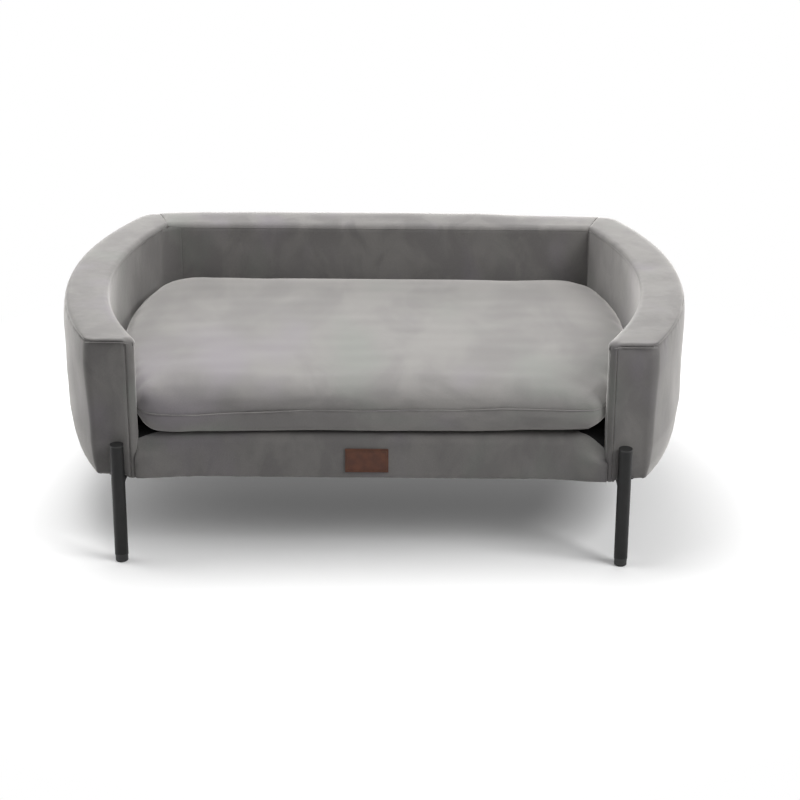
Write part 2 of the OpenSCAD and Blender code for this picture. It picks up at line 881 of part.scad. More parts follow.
module cushion_body() {
    n = len(outline);
    rings = concat(
        [for (s = cushion_side_shares) ring(s[0] * cushion_h, cushion_z + s[1] * cushion_h)],
        [for (share = crown_shares) crown_ring(share)]
    );
    middle_y = (cushion_front_y + cushion_rear_y) / 2;
    last = len(rings) - 1;
    tip = len(rings) * n;
    polyhedron(
        points = concat(flatten(rings), [[0, middle_y, cushion_z + cushion_h]]),
        faces = concat(
            [[for (i = [0 : n - 1]) i]],
            [for (k = [0 : last - 1], i = [0 : n - 1]) each [
                [k * n + i, (k + 1) * n + i, (k + 1) * n + (i + 1) % n],
                [k * n + i, (k + 1) * n + (i + 1) % n, k * n + (i + 1) % n]
            ]],
            [for (i = [0 : n - 1]) [last * n + i, tip, last * n + (i + 1) % n]]
        )
    );
}

// Plan of the foam block, with the same corner circles drawn in by inset
module cushion_plan(inset) {
    intersection() {
        seat_plan(cushion_gap + inset, cushion_front_y + inset, cushion_rear_y - inset);
        union() {
            translate([-front_corner[0], cushion_front_y])
                square([2 * front_corner[0], cushion_rear_y - cushion_front_y]);
            translate([-rear_corner[0], cushion_rear_y - cushion_rear_r])
                square([2 * rear_corner[0], cushion_rear_r]);
            translate([-reach / 2, front_corner[1]])
                square([reach, rear_corner[1] - front_corner[1]]);
            for (side = [-1, 1]) {
                translate([side * rear_corner[0], rear_corner[1]]) circle(cushion_rear_r - inset);
                translate([side * front_corner[0], front_corner[1]]) circle(cushion_front_r - inset);
            }
        }
    }
}

module cushion_block(play) {
    low = cushion_z + cushion_h * cushion_foam_bottom_share - play;
    high = cushion_z + cushion_h * cushion_foam_top_share + play;
    translate([0, 0, low]) linear_extrude(high - low) cushion_plan(fill_t - play);
}

// The cover is hollow round its foam block, and open along the zip
module cushion_cover() {
    slit_l = zip_l - 2 * zip_w;
    color("gray") difference() {
        cushion_body();
        cushion_block(lay_gap);
        translate([-slit_l / 2, cushion_rear_y - fill_t - cut, zip_z - zip_slit / 2])
            cube([slit_l, fill_t + 2 * cut, zip_slit]);
    }
}

module cushion_foam() {
    color("ivory") cushion_block(0);
}

zip_z = cushion_z + cushion_h * zip_height_share;
zip_y = cushion_rear_y + lay_gap;

module cushion_zip_tape() {
    color("black") {
        translate([-zip_l / 2, zip_y, zip_z - zip_w / 2]) cube([zip_l, zip_t, zip_w]);
        translate([-zip_l / 2, zip_y + zip_t, zip_z])
            rotate([0, 90, 0])
                cylinder(h = zip_l, r = zip_coil_r);
    }
}

// The slider rides on the coil with its tab folded flat, towards the middle of the zip
module zip_slider() {
    back = zip_y + zip_t + zip_coil_r + lay_gap;
    rail = zip_coil_r + 2 * lay_gap;
    place = -zip_l / 2 + slider_l / 2;
    color("silver") translate([place, 0, zip_z]) {
        difference() {
            translate([-slider_l / 2, zip_y + zip_t + lay_gap, -slider_w / 2])
                cube([slider_l, back - zip_y - zip_t + tab_t, slider_w]);
            translate([-slider_l, zip_y + zip_t, 0])
                rotate([0, 90, 0])
                    cylinder(h = 2 * slider_l, r = rail);
        }
        difference() {
            translate([0, back + tab_t / 2, -tab_w / 2]) cube([tab_l, tab_t, tab_w]);
            translate([tab_l - tab_w / 2, back - cut, 0])
                rotate([-90, 0, 0])
                    cylinder(h = 2 * cut + 2 * tab_t, r = tab_hole_r);
        }
    }
}

base_board();
dust_cloth();
base_rails();
seat_deck();
deck_cloth();
apron_foam();
apron_cover();
leather_patch();
mirror([1, 0, 0]) arm_frame();  // left_arm_frame
mirror([1, 0, 0]) arm_foam();  // left_arm_foam
mirror([1, 0, 0]) arm_cover();  // left_arm_cover
mirror([1, 0, 0]) arm_facing();  // left_arm_facing
arm_frame();  // right_arm_frame
arm_foam();  // right_arm_foam
arm_cover();  // right_arm_cover
arm_facing();  // right_arm_facing
back_frame();
back_foam();
back_cover();
at_leg(-1, -1) leg();  // front_left_leg
at_leg(1, -1) leg();  // front_right_leg
at_leg(-1, 1) leg();  // rear_left_leg
at_leg(1, 1) leg();  // rear_right_leg
at_leg(-1, -1) tube_cap();  // front_left_tube_cap
at_leg(1, -1) tube_cap();  // front_right_tube_cap
at_leg(-1, 1) tube_cap();  // rear_left_tube_cap
at_leg(1, 1) tube_cap();  // rear_right_tube_cap
at_leg(-1, -1) foot_insert();  // front_left_foot_insert
at_leg(1, -1) foot_insert();  // front_right_foot_insert
at_leg(-1, 1) foot_insert();  // rear_left_foot_insert
at_leg(1, 1) foot_insert();  // rear_right_foot_insert
at_leg(-1, -1) levelling_foot();  // front_left_levelling_foot
at_leg(1, -1) levelling_foot();  // front_right_levelling_foot
at_leg(-1, 1) levelling_foot();  // rear_left_levelling_foot
at_leg(1, 1) levelling_foot();  // rear_right_levelling_foot
leg_bolts();
leg_t_nuts();
frame_screws();
seam_bolts();
cushion_cover();
cushion_foam();
cushion_zip_tape();
zip_slider();
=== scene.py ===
# Dog sofa bed: dresses the frame in velvet, leather and black steel, and sets up the studio.
# Metres, +Z up; the origin is on the floor under the middle of the bed, as in the frame.
from math import atan2, cos, pi, radians, sin, sqrt

import bmesh
import bpy
import numpy as np
from mathutils import Matrix, Vector
from mathutils.bvhtree import BVHTree


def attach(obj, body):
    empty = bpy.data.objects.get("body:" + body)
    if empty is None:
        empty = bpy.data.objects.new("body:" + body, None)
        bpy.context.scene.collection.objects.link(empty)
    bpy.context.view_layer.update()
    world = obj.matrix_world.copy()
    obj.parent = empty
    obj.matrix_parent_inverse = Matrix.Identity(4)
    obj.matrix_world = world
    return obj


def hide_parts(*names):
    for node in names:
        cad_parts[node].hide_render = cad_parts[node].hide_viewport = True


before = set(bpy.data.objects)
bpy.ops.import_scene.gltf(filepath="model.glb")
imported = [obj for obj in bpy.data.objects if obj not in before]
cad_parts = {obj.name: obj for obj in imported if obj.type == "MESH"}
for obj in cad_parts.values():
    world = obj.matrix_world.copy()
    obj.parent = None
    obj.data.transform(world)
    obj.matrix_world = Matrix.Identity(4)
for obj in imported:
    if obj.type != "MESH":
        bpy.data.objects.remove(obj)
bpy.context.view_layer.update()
scene = bpy.context.scene
print("frame loaded:", len(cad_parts), "nodes")

# The tub's main places. The right arm's arcs are centred on armX, armY, and the left arm mirrors them.
bed = {
    "armX": -0.139,
    "armY": -0.016,
    "armInner": 0.525,  # radius of each arm's inner face
    "armOuter": 0.591,  # and of its outer face
    "front": -0.2805,
    "innerRear": 0.2205,  # the back's inner face
    "rear": 0.2805,
    "seamLean": 0.020,  # how far each rear seam moves outwards over the thickness of the back
    "backIn": 0.0004,  # the back's outer side: how far in it stands at its foot, and how far it swells
    "backSwell": 0.0045,
    "foot": 0.1204,  # the hems hang a little below the base
    "legX": 0.3505,
    "top": 0.3280,
    "seat": 0.1880,  # the top of the deck
}


# Small helpers

def deselectAll():
    if bpy.context.object and bpy.context.object.mode != "OBJECT":
        bpy.ops.object.mode_set(mode="OBJECT")
    bpy.ops.object.select_all(action="DESELECT")


def pick(piece):
    deselectAll()
    piece.select_set(True)
    bpy.context.view_layer.objects.active = piece


def applyModifier(piece, kind, **settings):
    pick(piece)
    modifier = piece.modifiers.new(kind.title(), kind)
    for key, value in settings.items():
        setattr(modifier, key, value)
    bpy.ops.object.modifier_apply(modifier=modifier.name)


def finish(piece, name, material, body, nodes=(), smooth=35):
    pick(piece)
    bpy.ops.object.transform_apply(location=True, rotation=True, scale=True)
    bpy.ops.object.shade_smooth_by_angle(angle=radians(smooth))
    piece.name = piece.data.name = name
    piece.data.materials.clear()
    piece.data.materials.append(material)
    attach(piece, body)
    if nodes:
        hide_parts(*nodes)


def getCoords(mesh):
    flat = np.empty(len(mesh.vertices) * 3)
    mesh.vertices.foreach_get("co", flat)
    return flat.reshape(-1, 3)


def setCoords(mesh, points):
    mesh.vertices.foreach_set("co", np.asarray(points).reshape(-1))
    mesh.update()


def softNoise(points, size, seed, waves=16):  # smooth, seeded and about -1 to 1
    rng = np.random.default_rng(seed)
    total = np.zeros(points.shape[:-1])
    for _ in range(waves):
        direction = rng.normal(size=3)
        direction /= np.linalg.norm(direction)
        length = size * rng.uniform(0.7, 1.7)
        total += np.sin(points @ direction * 2 * pi / length + rng.uniform(0, 2 * pi))
    return total / sqrt(waves)


def smoothStep(value, low, high):
    share = np.clip((value - low) / (high - low), 0, 1)
    return share * share * (3 - 2 * share)


# Materials

def linear(hexColour):
    parts = [int(hexColour[i:i + 2], 16) / 255 for i in (1, 3, 5)]
    return tuple(c / 12.92 if c <= 0.04045 else ((c + 0.055) / 1.055) ** 2.4 for c in parts) + (1.0,)


# Adds a node: n6 is its seventh input, and From_Min the one named From Min
def addNode(tree, kind, settings=None, **sockets):
    node = tree.nodes.new("ShaderNode" + kind)
    for key, value in (settings or {}).items():
        setattr(node, key, value)
    for key, value in sockets.items():
        numbered = key[0] == "n" and key[1:].isdigit()
        socket = node.inputs[int(key[1:]) if numbered else key.replace("_", " ")]
        if isinstance(value, bpy.types.Node):
            value = value.outputs[0]
        if isinstance(value, bpy.types.NodeSocket):
            tree.links.new(value, socket)
        else:
            socket.default_value = linear(value) if isinstance(value, str) else value
    return node


def newMaterial(name):  # its patterns read the place on the piece
    material = bpy.data.materials.new(name)
    material.use_nodes = True
    tree = material.node_tree
    tree.nodes.clear()
    return material, tree, addNode(tree, "TexCoord").outputs["Object"]


def closeMaterial(material, **sockets):
    tree = material.node_tree
    addNode(tree, "OutputMaterial", Surface=addNode(tree, "BsdfPrincipled", **sockets))
    return material


easing = {"interpolation_type": "SMOOTHSTEP"}


# Turns the first colour into the second, as the pattern goes from low to high
def shiftColour(tree, pattern, low, high, first, second):
    share = addNode(tree, "MapRange", easing, Value=pattern, From_Min=low, From_Max=high)
    return addNode(tree, "Mix", {"data_type": "RGBA"}, n0=share, n6=first, n7=second).outputs[2]


velvet = {
    "shade": "#6E6C6B",
    "light": "#797775",
    "plum": "#777377",  # patches where the nap leans the other way
    "sage": "#727470",
    "sheen": "#F4F1EE",
    "pile": 0.0011,  # real pile is about 0.3 mm across and is drawn as coarse as it needs to show
    "patch": 0.046,
    "tint": 0.0836,
    "ripple": 0.0161,
}


# Woven polyester velvet: a short brushed pile, dark head-on and pale at a glance
def velvetMaterial(name, stretch, gain=1.0):
    material, tree, place = newMaterial(name)
    drawn = addNode(tree, "Mapping", Vector=place, Scale=stretch)
    patches = addNode(
        tree, "TexNoise", Vector=drawn, Scale=1 / velvet["patch"], Detail=3.0, Roughness=0.55, Distortion=0.6
    )
    tints = addNode(tree, "TexNoise", Vector=drawn, Scale=1 / velvet["tint"], Detail=2.0).outputs["Color"]
    split = addNode(tree, "SeparateColor", Color=tints)
    pile = addNode(tree, "TexNoise", Vector=place, Scale=1 / velvet["pile"], Detail=2.0)
    nap = shiftColour(tree, patches, 0.38, 0.64, velvet["shade"], velvet["light"])
    nap = shiftColour(tree, split.outputs[0], 0.52, 0.76, nap, velvet["plum"])
    nap = shiftColour(tree, split.outputs[1], 0.52, 0.76, nap, velvet["sage"])
    # gain lightens the colour: the copies with a gain above 1 paint light on the pieces that use them
    grain = addNode(
        tree, "MapRange", Value=pile, From_Min=0.3, From_Max=0.7, To_Min=0.92 * gain, To_Max=1.07 * gain
    )
    colour = addNode(tree, "Mix", {"data_type": "RGBA", "blend_type": "MULTIPLY"}, n0=1.0, n6=nap, n7=grain)
    ripple = addNode(tree, "TexNoise", Vector=drawn, Scale=1 / velvet["ripple"], Detail=2.0)
    wave = addNode(tree, "Bump", Strength=0.12, Distance=0.002, Height=ripple)
    fuzz = addNode(tree, "Bump", Strength=0.35, Distance=0.0004, Height=pile, Normal=wave)
    return closeMaterial(
        material, Base_Color=colour.outputs[2], Roughness=0.92, Normal=fuzz, IOR=1.45,
        Specular_IOR_Level=0.15, Sheen_Weight=1.0, Sheen_Roughness=0.42, Sheen_Tint=velvet["sheen"],
    )


velvetWall = velvetMaterial("brushed polyester velvet, walls", (1.0, 1.0, 0.6))
# A lightened copy for the cushion: painted light, for the brighter light on its top
velvetSeatPaintedLight = velvetMaterial("brushed polyester velvet, cushion", (0.55, 0.26, 1.0), 1.3)
# A lightened copy for the back's top: painted light, for the brighter light that falls on it from behind
velvetBackTopPaintedLight = velvetMaterial("brushed polyester velvet, nap laid to the rear", (1.0, 1.0, 0.6), 1.26)
# A much lighter copy for the fine cords and the piping: a painted highlight along the ridges and the seam
velvetCordPaintedHighlight = velvetMaterial("brushed polyester velvet, cords", (1.0, 1.0, 1.0), 1.6)

grains = {  # sizes of the other finishes' patterns
    "orangePeel": 0.00143,
    "paintWear": 0.025,
    "sparkPit": 0.000714,  # real pits are about 0.1 mm and are drawn as coarse as they need to show
    "zincSpot": 0.00385,
    "figureLong": 0.0758,  # the plywood's figure, along and across the grain
    "figureWide": 0.00758,
    "ply": 0.003,  # real plies are 1.5 mm and are drawn as coarse as they need to show
    "foamCell": 0.00154,
    "pebble": 0.00111,
    "hideCloud": 0.0111,
    "lining": 0.0012,  # real fibres are about 0.05 mm, and threads 0.3 mm: both are drawn coarser, to show
    "zipTape": 0.0009,
    "thread": 0.0005,
}


def plainCloth(name, dark, light, thread, roughness):  # cloth or thread: dull, with a fine even grain
    material, tree, place = newMaterial(name)
    fibre = addNode(tree, "TexNoise", Vector=place, Scale=1 / thread, Detail=3.0, Distortion=1.2)
    press = addNode(tree, "TexVoronoi", Vector=place, Scale=0.45 / thread)
    colour = shiftColour(tree, fibre, 0.35, 0.65, dark, light)
    bump = addNode(tree, "Bump", Strength=0.4, Distance=0.0004, Height=press)
    return closeMaterial(
        material, Base_Color=colour, Roughness=roughness, Normal=bump, Specular_IOR_Level=0.2
    )


def blackPaint():  # epoxy powder coat on steel: satin, with a very fine orange-peel surface
    material, tree, place = newMaterial("satin black powder coat")
    peel = addNode(tree, "TexNoise", Vector=place, Scale=1 / grains["orangePeel"], Detail=2.0)
    worn = addNode(tree, "TexNoise", Vector=place, Scale=1 / grains["paintWear"], Detail=4.0)
    colour = shiftColour(tree, worn, 0.4, 0.7, "#0E0E0E", "#151515")
    rough = addNode(tree, "MapRange", Value=worn, To_Min=0.36, To_Max=0.50)
    bump = addNode(tree, "Bump", Strength=0.12, Distance=0.0003, Height=peel)
    return closeMaterial(
        material, Base_Color=colour, Roughness=rough, Normal=bump, IOR=1.5, Specular_IOR_Level=0.3
    )


def mouldedPlastic():  # spark-eroded black nylon, a little duller than the paint
    material, tree, place = newMaterial("moulded black nylon")
    pits = addNode(tree, "TexNoise", Vector=place, Scale=1 / grains["sparkPit"], Detail=2.0)
    colour = addNode(tree, "Mix", {"data_type": "RGBA"}, n0=pits, n6="#0F0F0F", n7="#171717").outputs[2]
    bump = addNode(tree, "Bump", Strength=0.2, Distance=0.0002, Height=pits)
    return closeMaterial(material, Base_Color=colour, Roughness=0.5, Normal=bump, IOR=1.53)


def zincPlate():  # bright zinc on steel: pale blue-grey, with dull spots
    material, tree, place = newMaterial("zinc-plated steel")
    spots = addNode(tree, "TexNoise", Vector=place, Scale=1 / grains["zincSpot"], Detail=4.0)
    colour = shiftColour(tree, spots, 0.35, 0.7, "#B9BDC1", "#9DA2A8")
    rough = addNode(tree, "MapRange", Value=spots, To_Min=0.24, To_Max=0.42)
    return closeMaterial(material, Base_Color=colour, Metallic=1.0, Roughness=rough)


def birchPlywood():  # rotary-cut birch: pale, with long soft grain and thin darker glue lines
    material, tree, place = newMaterial("birch plywood")
    across = 1 / grains["figureWide"]
    drawn = addNode(tree, "Mapping", Vector=place, Scale=(1 / grains["figureLong"], across, across))
    grain = addNode(tree, "TexNoise", Vector=drawn, Scale=1.0, Detail=5.0, Distortion=0.8)
    bands = addNode(
        tree, "TexWave", {"bands_direction": "Z"}, Vector=place, Scale=pi / 10 / grains["ply"],
        Distortion=0.3,
    )
    colour = shiftColour(tree, grain, 0.35, 0.7, "#D8BE93", "#C4A374")
    colour = shiftColour(tree, bands.outputs["Fac"], 0.86, 0.98, colour, "#A8835A")
    bump = addNode(tree, "Bump", Strength=0.15, Distance=0.0003, Height=grain)
    return closeMaterial(material, Base_Color=colour, Roughness=0.6, Normal=bump)


def upholsteryFoam():  # open-cell polyurethane: cream, dull and pitted
    material, tree, place = newMaterial("open-cell polyurethane foam")
    cells = addNode(tree, "TexVoronoi", Vector=place, Scale=1 / grains["foamCell"])
    colour = addNode(tree, "Mix", {"data_type": "RGBA"}, n0=cells, n6="#D9CDAE", n7="#EFE6CC").outputs[2]
    bump = addNode(tree, "Bump", Strength=0.6, Distance=0.0006, Height=cells)
    return closeMaterial(material, Base_Color=colour, Roughness=0.95, Normal=bump, Specular_IOR_Level=0.2)


def grainLeather():  # vegetable-tanned hide: pebbled grain of about 1 mm, warm and half matt
    material, tree, place = newMaterial("vegetable-tanned leather")
    pebbles = addNode(
        tree, "TexVoronoi", {"feature": "SMOOTH_F1"}, Vector=place, Scale=1 / grains["pebble"]
    )
    cloud = addNode(tree, "TexNoise", Vector=place, Scale=1 / grains["hideCloud"], Detail=4.0)
    colour = shiftColour(tree, cloud, 0.3, 0.7, "#4A2C20", "#5E3A2B")
    rough = addNode(tree, "MapRange", Value=cloud, To_Min=0.5, To_Max=0.68)
    bump = addNode(tree, "Bump", Strength=0.35, Distance=0.0003, Height=pebbles)
    return closeMaterial(
        material, Base_Color=colour, Roughness=rough, Normal=bump, IOR=1.5, Specular_IOR_Level=0.35
    )


blackCloth = plainCloth("black non-woven cloth", "#0C0C0C", "#171717", grains["lining"], 0.95)
zipCloth = plainCloth("woven black zip tape", "#131313", "#1F1F1F", grains["zipTape"], 0.8)
greyThread = plainCloth("spun polyester thread, grey", "#8A8887", "#9D9B99", grains["thread"], 0.75)
brownThread = plainCloth("spun polyester thread, brown", "#5E4536", "#745644", grains["thread"], 0.7)
paint = blackPaint()
plastic = mouldedPlastic()
zinc = zincPlate()
plywood = birchPlywood()
foam = upholsteryFoam()
hide = grainLeather()

finishes = {  # for every node of the frame, by the last of these words in its name
    "leg": paint,
    "tube_cap": plastic,
    "foot": plastic,
    "insert": plastic,
    "bolts": zinc,
    "nuts": zinc,
    "screws": zinc,
    "slider": zinc,
    "board": plywood,
    "rails": plywood,
    "deck": plywood,
    "frame": plywood,
    "foam": foam,
    "tape": zipCloth,
    "cloth": blackCloth,
    "cover": velvetWall,
    "facing": velvetWall,
    "patch": hide,
}
for name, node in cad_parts.items():
    last = max((word for word in finishes if word in name), key=name.rfind)
    for place in node.material_slots:
        place.material = finishes[last]
print("materials made")


# Sewn panels: each is a fine grid laid on a surface, with its borders rolled into the seams

# Border profiles, from the border inwards: how far in, and how far below the panel's face
seamRoll = [(0.0002, 0.0024), (0.0004, 0.0015), (0.0010, 0.0008), (0.0022, 0.0003), (0.0042, 0.0)]
softSeam = [(0.0002, 0.0016), (0.0006, 0.0008), (0.0018, 0.0003), (0.0040, 0.0)]
flatSeam = [(0.0001, 0.0011), (0.0005, 0.0005), (0.0014, 0.0001), (0.0030, 0.0)]
flushSeam = [(0.0001, 0.0005), (0.0006, 0.0002), (0.0016, 0.0), (0.0030, 0.0)]
lipSeam = [(0.0002, 0.0020), (0.0007, 0.0009), (0.0018, 0.0003), (0.0044, 0.0)]
tuckSeam = [(0.0002, 0.0013), (0.0018, 0.0009), (0.0030, 0.0004), (0.0044, 0.0001)]  # goes in behind a roll
innerRoll = [
    (0.0006, 0.0076), (0.0002, 0.0069), (0.0, 0.0053), (0.0006, 0.0033), (0.0020, 0.0016),
    (0.0042, 0.0005), (0.0078, 0.0),
]
cornerRoll = [  # the soft ball at the inner front corner of each arm
    (-0.0002, 0.0106), (-0.0005, 0.0094), (-0.0004, 0.0072), (0.0007, 0.0045), (0.0028, 0.0022),
    (0.0058, 0.0007), (0.0105, 0.0),
]
wideRoll = [
    (0.0009, 0.0088), (0.0003, 0.0082), (0.0001, 0.0064), (0.0006, 0.0042), (0.0019, 0.0023),
    (0.0040, 0.0010), (0.0072, 0.0003), (0.0115, 0.0),
]
hemFold = [
    (0.0003, 0.0170), (0.0002, 0.0110), (0.0001, 0.0055), (0.0008, 0.0025), (0.0024, 0.0008), (0.0050, 0.0),
]
crispRoll = [  # as many steps as wideRoll, so that an edge can change from one to the other
    (0.0006, 0.0032), (0.0, 0.0028), (-0.0003, 0.0021), (-0.0002, 0.0013), (0.0002, 0.0006),
    (0.0009, 0.0002), (0.0026, 0.0001), (0.0060, 0.0),
]
rawEdge = [(0.0, 0.0)]


def weltRoll(high):  # the narrow lip along an arm's front edge
    steps = [
        (0.0016, 1.0), (0.0007, 0.92), (0.0001, 0.70), (0.0003, 0.42), (0.0010, 0.18), (0.0022, 0.06),
        (0.0040, 0.0),
    ]
    return [(inset, high * drop) for inset, drop in steps]


def arcPoints(x, y, radius, start, end):
    count = max(3, int(abs(radians(end - start)) * radius / 0.001))
    turn = np.radians(np.linspace(start, end, count))
    return np.stack([x + radius * np.cos(turn), y + radius * np.sin(turn)], -1)


def planPath(*stretches):
    points = np.vstack(stretches)
    steps = np.linalg.norm(np.diff(points, axis=0), axis=1)
    keep = np.concatenate([[True], steps > 1e-7])
    points = points[keep]
    lengths = np.concatenate([[0.0], np.cumsum(np.linalg.norm(np.diff(points, axis=0), axis=1))])
    return points, lengths


def follow(path, distance):  # places and right-hand normals along a path in plan
    points, lengths = path
    reach = 0.0008
    behind, here, ahead = (
        np.stack([np.interp(distance + step, lengths, points[:, k]) for k in (0, 1)], -1)
        for step in (-reach, 0.0, reach)
    )
    along = ahead - behind
    along /= np.linalg.norm(along, axis=-1, keepdims=True)
    return here, np.stack([along[..., 1], -along[..., 0]], -1)


hem = {
    "rise": 0.0028,  # the hems clear the legs' plates by this much
    "plate": (0.0100, 0.0140),  # half of a plate's width, and where the hem is down again beside it
    "plateFade": (0.001, 0.020),  # heights between which it hangs straight again
    "legsFrom": 0.26,  # the plates stand further from the middle than this, to the front or the rear
    "tuck": 0.0062,  # the inner panels' hems are tucked up by this much
    "tuckFrom": (0.018, 0.040),  # distances from the front seam between which that starts
    "tuckFade": (0.001, 0.030),
}


# An upright panel over a path, which swells outwards by bulge and whose hem is tucked up
def wallSurface(path, foot, bulge=None, tucked=0.0):
    def surface(a, b):
        here, normal = follow(path, a)
        out = bulge(a, b) if bulge else 0.0 * a
        flat = here + normal * out[..., None]
        byPlate = 1 - smoothStep(np.abs(np.abs(flat[..., 0]) - bed["legX"]), *hem["plate"])
        byPlate = byPlate * (np.abs(flat[..., 1]) > hem["legsFrom"])
        over = hem["rise"] * byPlate * (1 - smoothStep(b, *hem["plateFade"]))
        over = over + tucked * smoothStep(a, *hem["tuckFrom"]) * (1 - smoothStep(b, *hem["tuckFade"]))
        return np.concatenate([flat, (foot + b + over)[..., None]], -1)
    return surface


def gridLines(length, first, last, spacing):
    low = np.array([inset for inset, drop in first])
    high = length - np.array([inset for inset, drop in last])[::-1]
    start, end = low.max(), high.min()
    inner = np.linspace(start, end, max(3, int(length / spacing)))[1:-1]
    drops = [drop for inset, drop in first] + [0.0] * len(inner) + [drop for inset, drop in last][::-1]
    return np.concatenate([low, inner, high]), np.array(drops)


def roundCorners(a, b, long, wide, radii):  # turns a grid's square corners into quarter circles
    for lowA, lowB, radius in ((1, 1, radii[0]), (0, 1, radii[1]), (1, 0, radii[2]), (0, 0, radii[3])):
        fromA = a if lowA else long - a
        fromB = b if lowB else wide - b
        x, y = np.maximum(radius - fromA, 0.0), np.maximum(radius - fromB, 0.0)
        near = (x > 0) & (y > 0)
        scale = np.where(near, np.maximum(x, y) / np.maximum(np.hypot(x, y), 1e-9), 1.0)
        newA = np.where(near, radius - x * scale, fromA)
        newB = np.where(near, radius - y * scale, fromB)
        a, b = (newA if lowA else long - newA), (newB if lowB else wide - newB)
    return a, b


def addGrid(points, flip):
    rows, columns = points.shape[:2]
    deselectAll()
    bpy.ops.mesh.primitive_grid_add(x_subdivisions=rows - 1, y_subdivisions=columns - 1, size=2)
    panel = bpy.context.object
    start = getCoords(panel.data)
    i = np.rint((start[:, 0] + 1) / 2 * (rows - 1)).astype(int)
    j = np.rint((start[:, 1] + 1) / 2 * (columns - 1)).astype(int)
    setCoords(panel.data, points[i, j])
    if flip:
        bpy.ops.object.mode_set(mode="EDIT")
        bpy.ops.mesh.select_all(action="SELECT")
        bpy.ops.mesh.flip_normals()
        bpy.ops.object.mode_set(mode="OBJECT")
    return panel


drape = {  # gathers beside the seams, which fade away from them, and slow waves that grow towards the middle
    "gatherSize": 0.013,
    "gatherReach": 0.010,
    "waveSize": 0.08,
    "waveReach": 0.02,
}


# Sews a panel from its four border profiles. Where others are given, the borders change to those as far as
# change says
def sewPanel(surface, size, borders, facing=1, mirrored=False, radii=(0.002,) * 4, pucker=0.00025,
             crease=0.0005, spacing=0.0032, seed=1, wall=0.0012, others=None, change=None):
    long, wide = size
    start, end, low, high = borders
    a, dropA = gridLines(long, start, end, spacing)
    b, dropB = gridLines(wide, low, high, spacing)
    gridA, gridB = np.meshgrid(a, b, indexing="ij")
    dropA, dropB = np.meshgrid(dropA, dropB, indexing="ij")
    if others:
        part = change(gridA, gridB)
        a, otherA = gridLines(long, others[0], others[1], spacing)
        b, otherB = gridLines(wide, others[2], others[3], spacing)
        gridA, gridB = gridA * (1 - part) + a[:, None] * part, gridB * (1 - part) + b * part
        dropA, dropB = dropA * (1 - part) + otherA[:, None] * part, dropB * (1 - part) + otherB * part
    gridA, gridB = roundCorners(gridA, gridB, long, wide, radii)
    points = surface(gridA, gridB)
    step = 0.0006
    normal = np.cross(
        surface(gridA + step, gridB) - surface(gridA - step, gridB),
        surface(gridA, gridB + step) - surface(gridA, gridB - step),
    )
    normal *= facing / np.maximum(np.linalg.norm(normal, axis=-1, keepdims=True), 1e-12)
    border = np.minimum(np.minimum(gridA, long - gridA), np.minimum(gridB, wide - gridB))
    lift = pucker * np.exp(-border / drape["gatherReach"]) * softNoise(points, drape["gatherSize"], seed)
    waves = softNoise(points, drape["waveSize"], seed + 1)
    lift += crease * (1 - np.exp(-border / drape["waveReach"])) * waves
    points = points + normal * (lift - np.maximum(dropA, dropB))[..., None]
    if mirrored:
        points = points * np.array([-1.0, 1.0, 1.0])
    panel = addGrid(points, (facing < 0) != mirrored)
    applyModifier(panel, "SOLIDIFY", thickness=wall, offset=-1.0, use_even_offset=False)
    return panel


def layCord(name, places, radius, material, body, closed=False):  # a fine round cord along the places
    line = bpy.data.curves.new(name, "CURVE")
    line.dimensions = "3D"
    line.bevel_depth = radius
    line.bevel_resolution = 3
    spline = line.splines.new("POLY")
    spline.points.add(len(places) - 1)
    for point, place in zip(spline.points, places):
        point.co = (*place, 1.0)
    spline.use_cyclic_u = closed
    cord = bpy.data.objects.new(name, line)
    scene.collection.objects.link(cord)
    pick(cord)
    bpy.ops.object.convert(target="MESH")
    finish(bpy.context.object, name, material, body, smooth=60)


# Arms

arm = {
    "inset": 0.0045,  # top edge of the outer side, in from the outermost line
    # the outer side's lean: shares of its height, and how far out it stands there from the outermost line
    "leanHeights": (0.0, 0.10, 0.25, 0.40, 0.60, 0.78, 0.88, 0.96, 1.0),
    "leanOut": (-0.0104, -0.0054, -0.0018, -0.0020, -0.0014, -0.0006, -0.0010, -0.0028, -0.0045),
    "taper": 0.0035,  # how much more the front end draws in near the foot
    "taperFrom": 0.012,  # distances from the front seam: where that starts, where it is full, how it fades
    "taperFull": 0.045,
    "taperReach": 0.09,
    "faceEnd": 0.004,  # the front face itself doesn't lean up to here
    "faceIn": 0.0008,
    "nearBack": (0.085, 0.010),  # distances from the rear seam between which it takes up the back's lean
    "frontOuter": 0.016,
    "frontInner": 0.012,
    "topFrontOuter": 0.011,
    "seamX": 0.3338,  # upright seam on the front face
    "cornerR": 0.030,
    "overhang": 0.0006,  # how far the top panel stands past the inner panel
    "frontLap": 0.0004,  # and past the front face
    "outerDrop": 0.0048,  # how far below the top the outer panel ends
    "innerDrop": 0.0038,
    "crown": 0.0012,
    "topOut": 0.0008,  # how far the top's outer edge stands past the outer side
    "softRise": 0.0026,  # how far above its end the outer panel reaches, by the crisp edge and at the welt
    "weltRise": 0.0056,
    "weltEnd": (0.038, 0.062),
    "ballWide": (0.0125, 0.0215),  # the soft ball at the inner front corner, across and along the arm
    "ballLong": (0.012, 0.060),
    # each arm's own make: the height of the welt, the depths between which its outer top edge turns from
    # crisp to soft, the radius of the fold where it meets the back, and where the ridge on that edge ends
    "right": {"welt": 0.0046, "softFrom": (-0.19, -0.03), "fold": 0.002, "ridgeTo": -0.08},
    "left": {"welt": 0.0030, "softFrom": (-0.275, -0.20), "fold": 0.034, "ridgeTo": -0.245},
}
wallHigh = bed["top"] - bed["foot"]


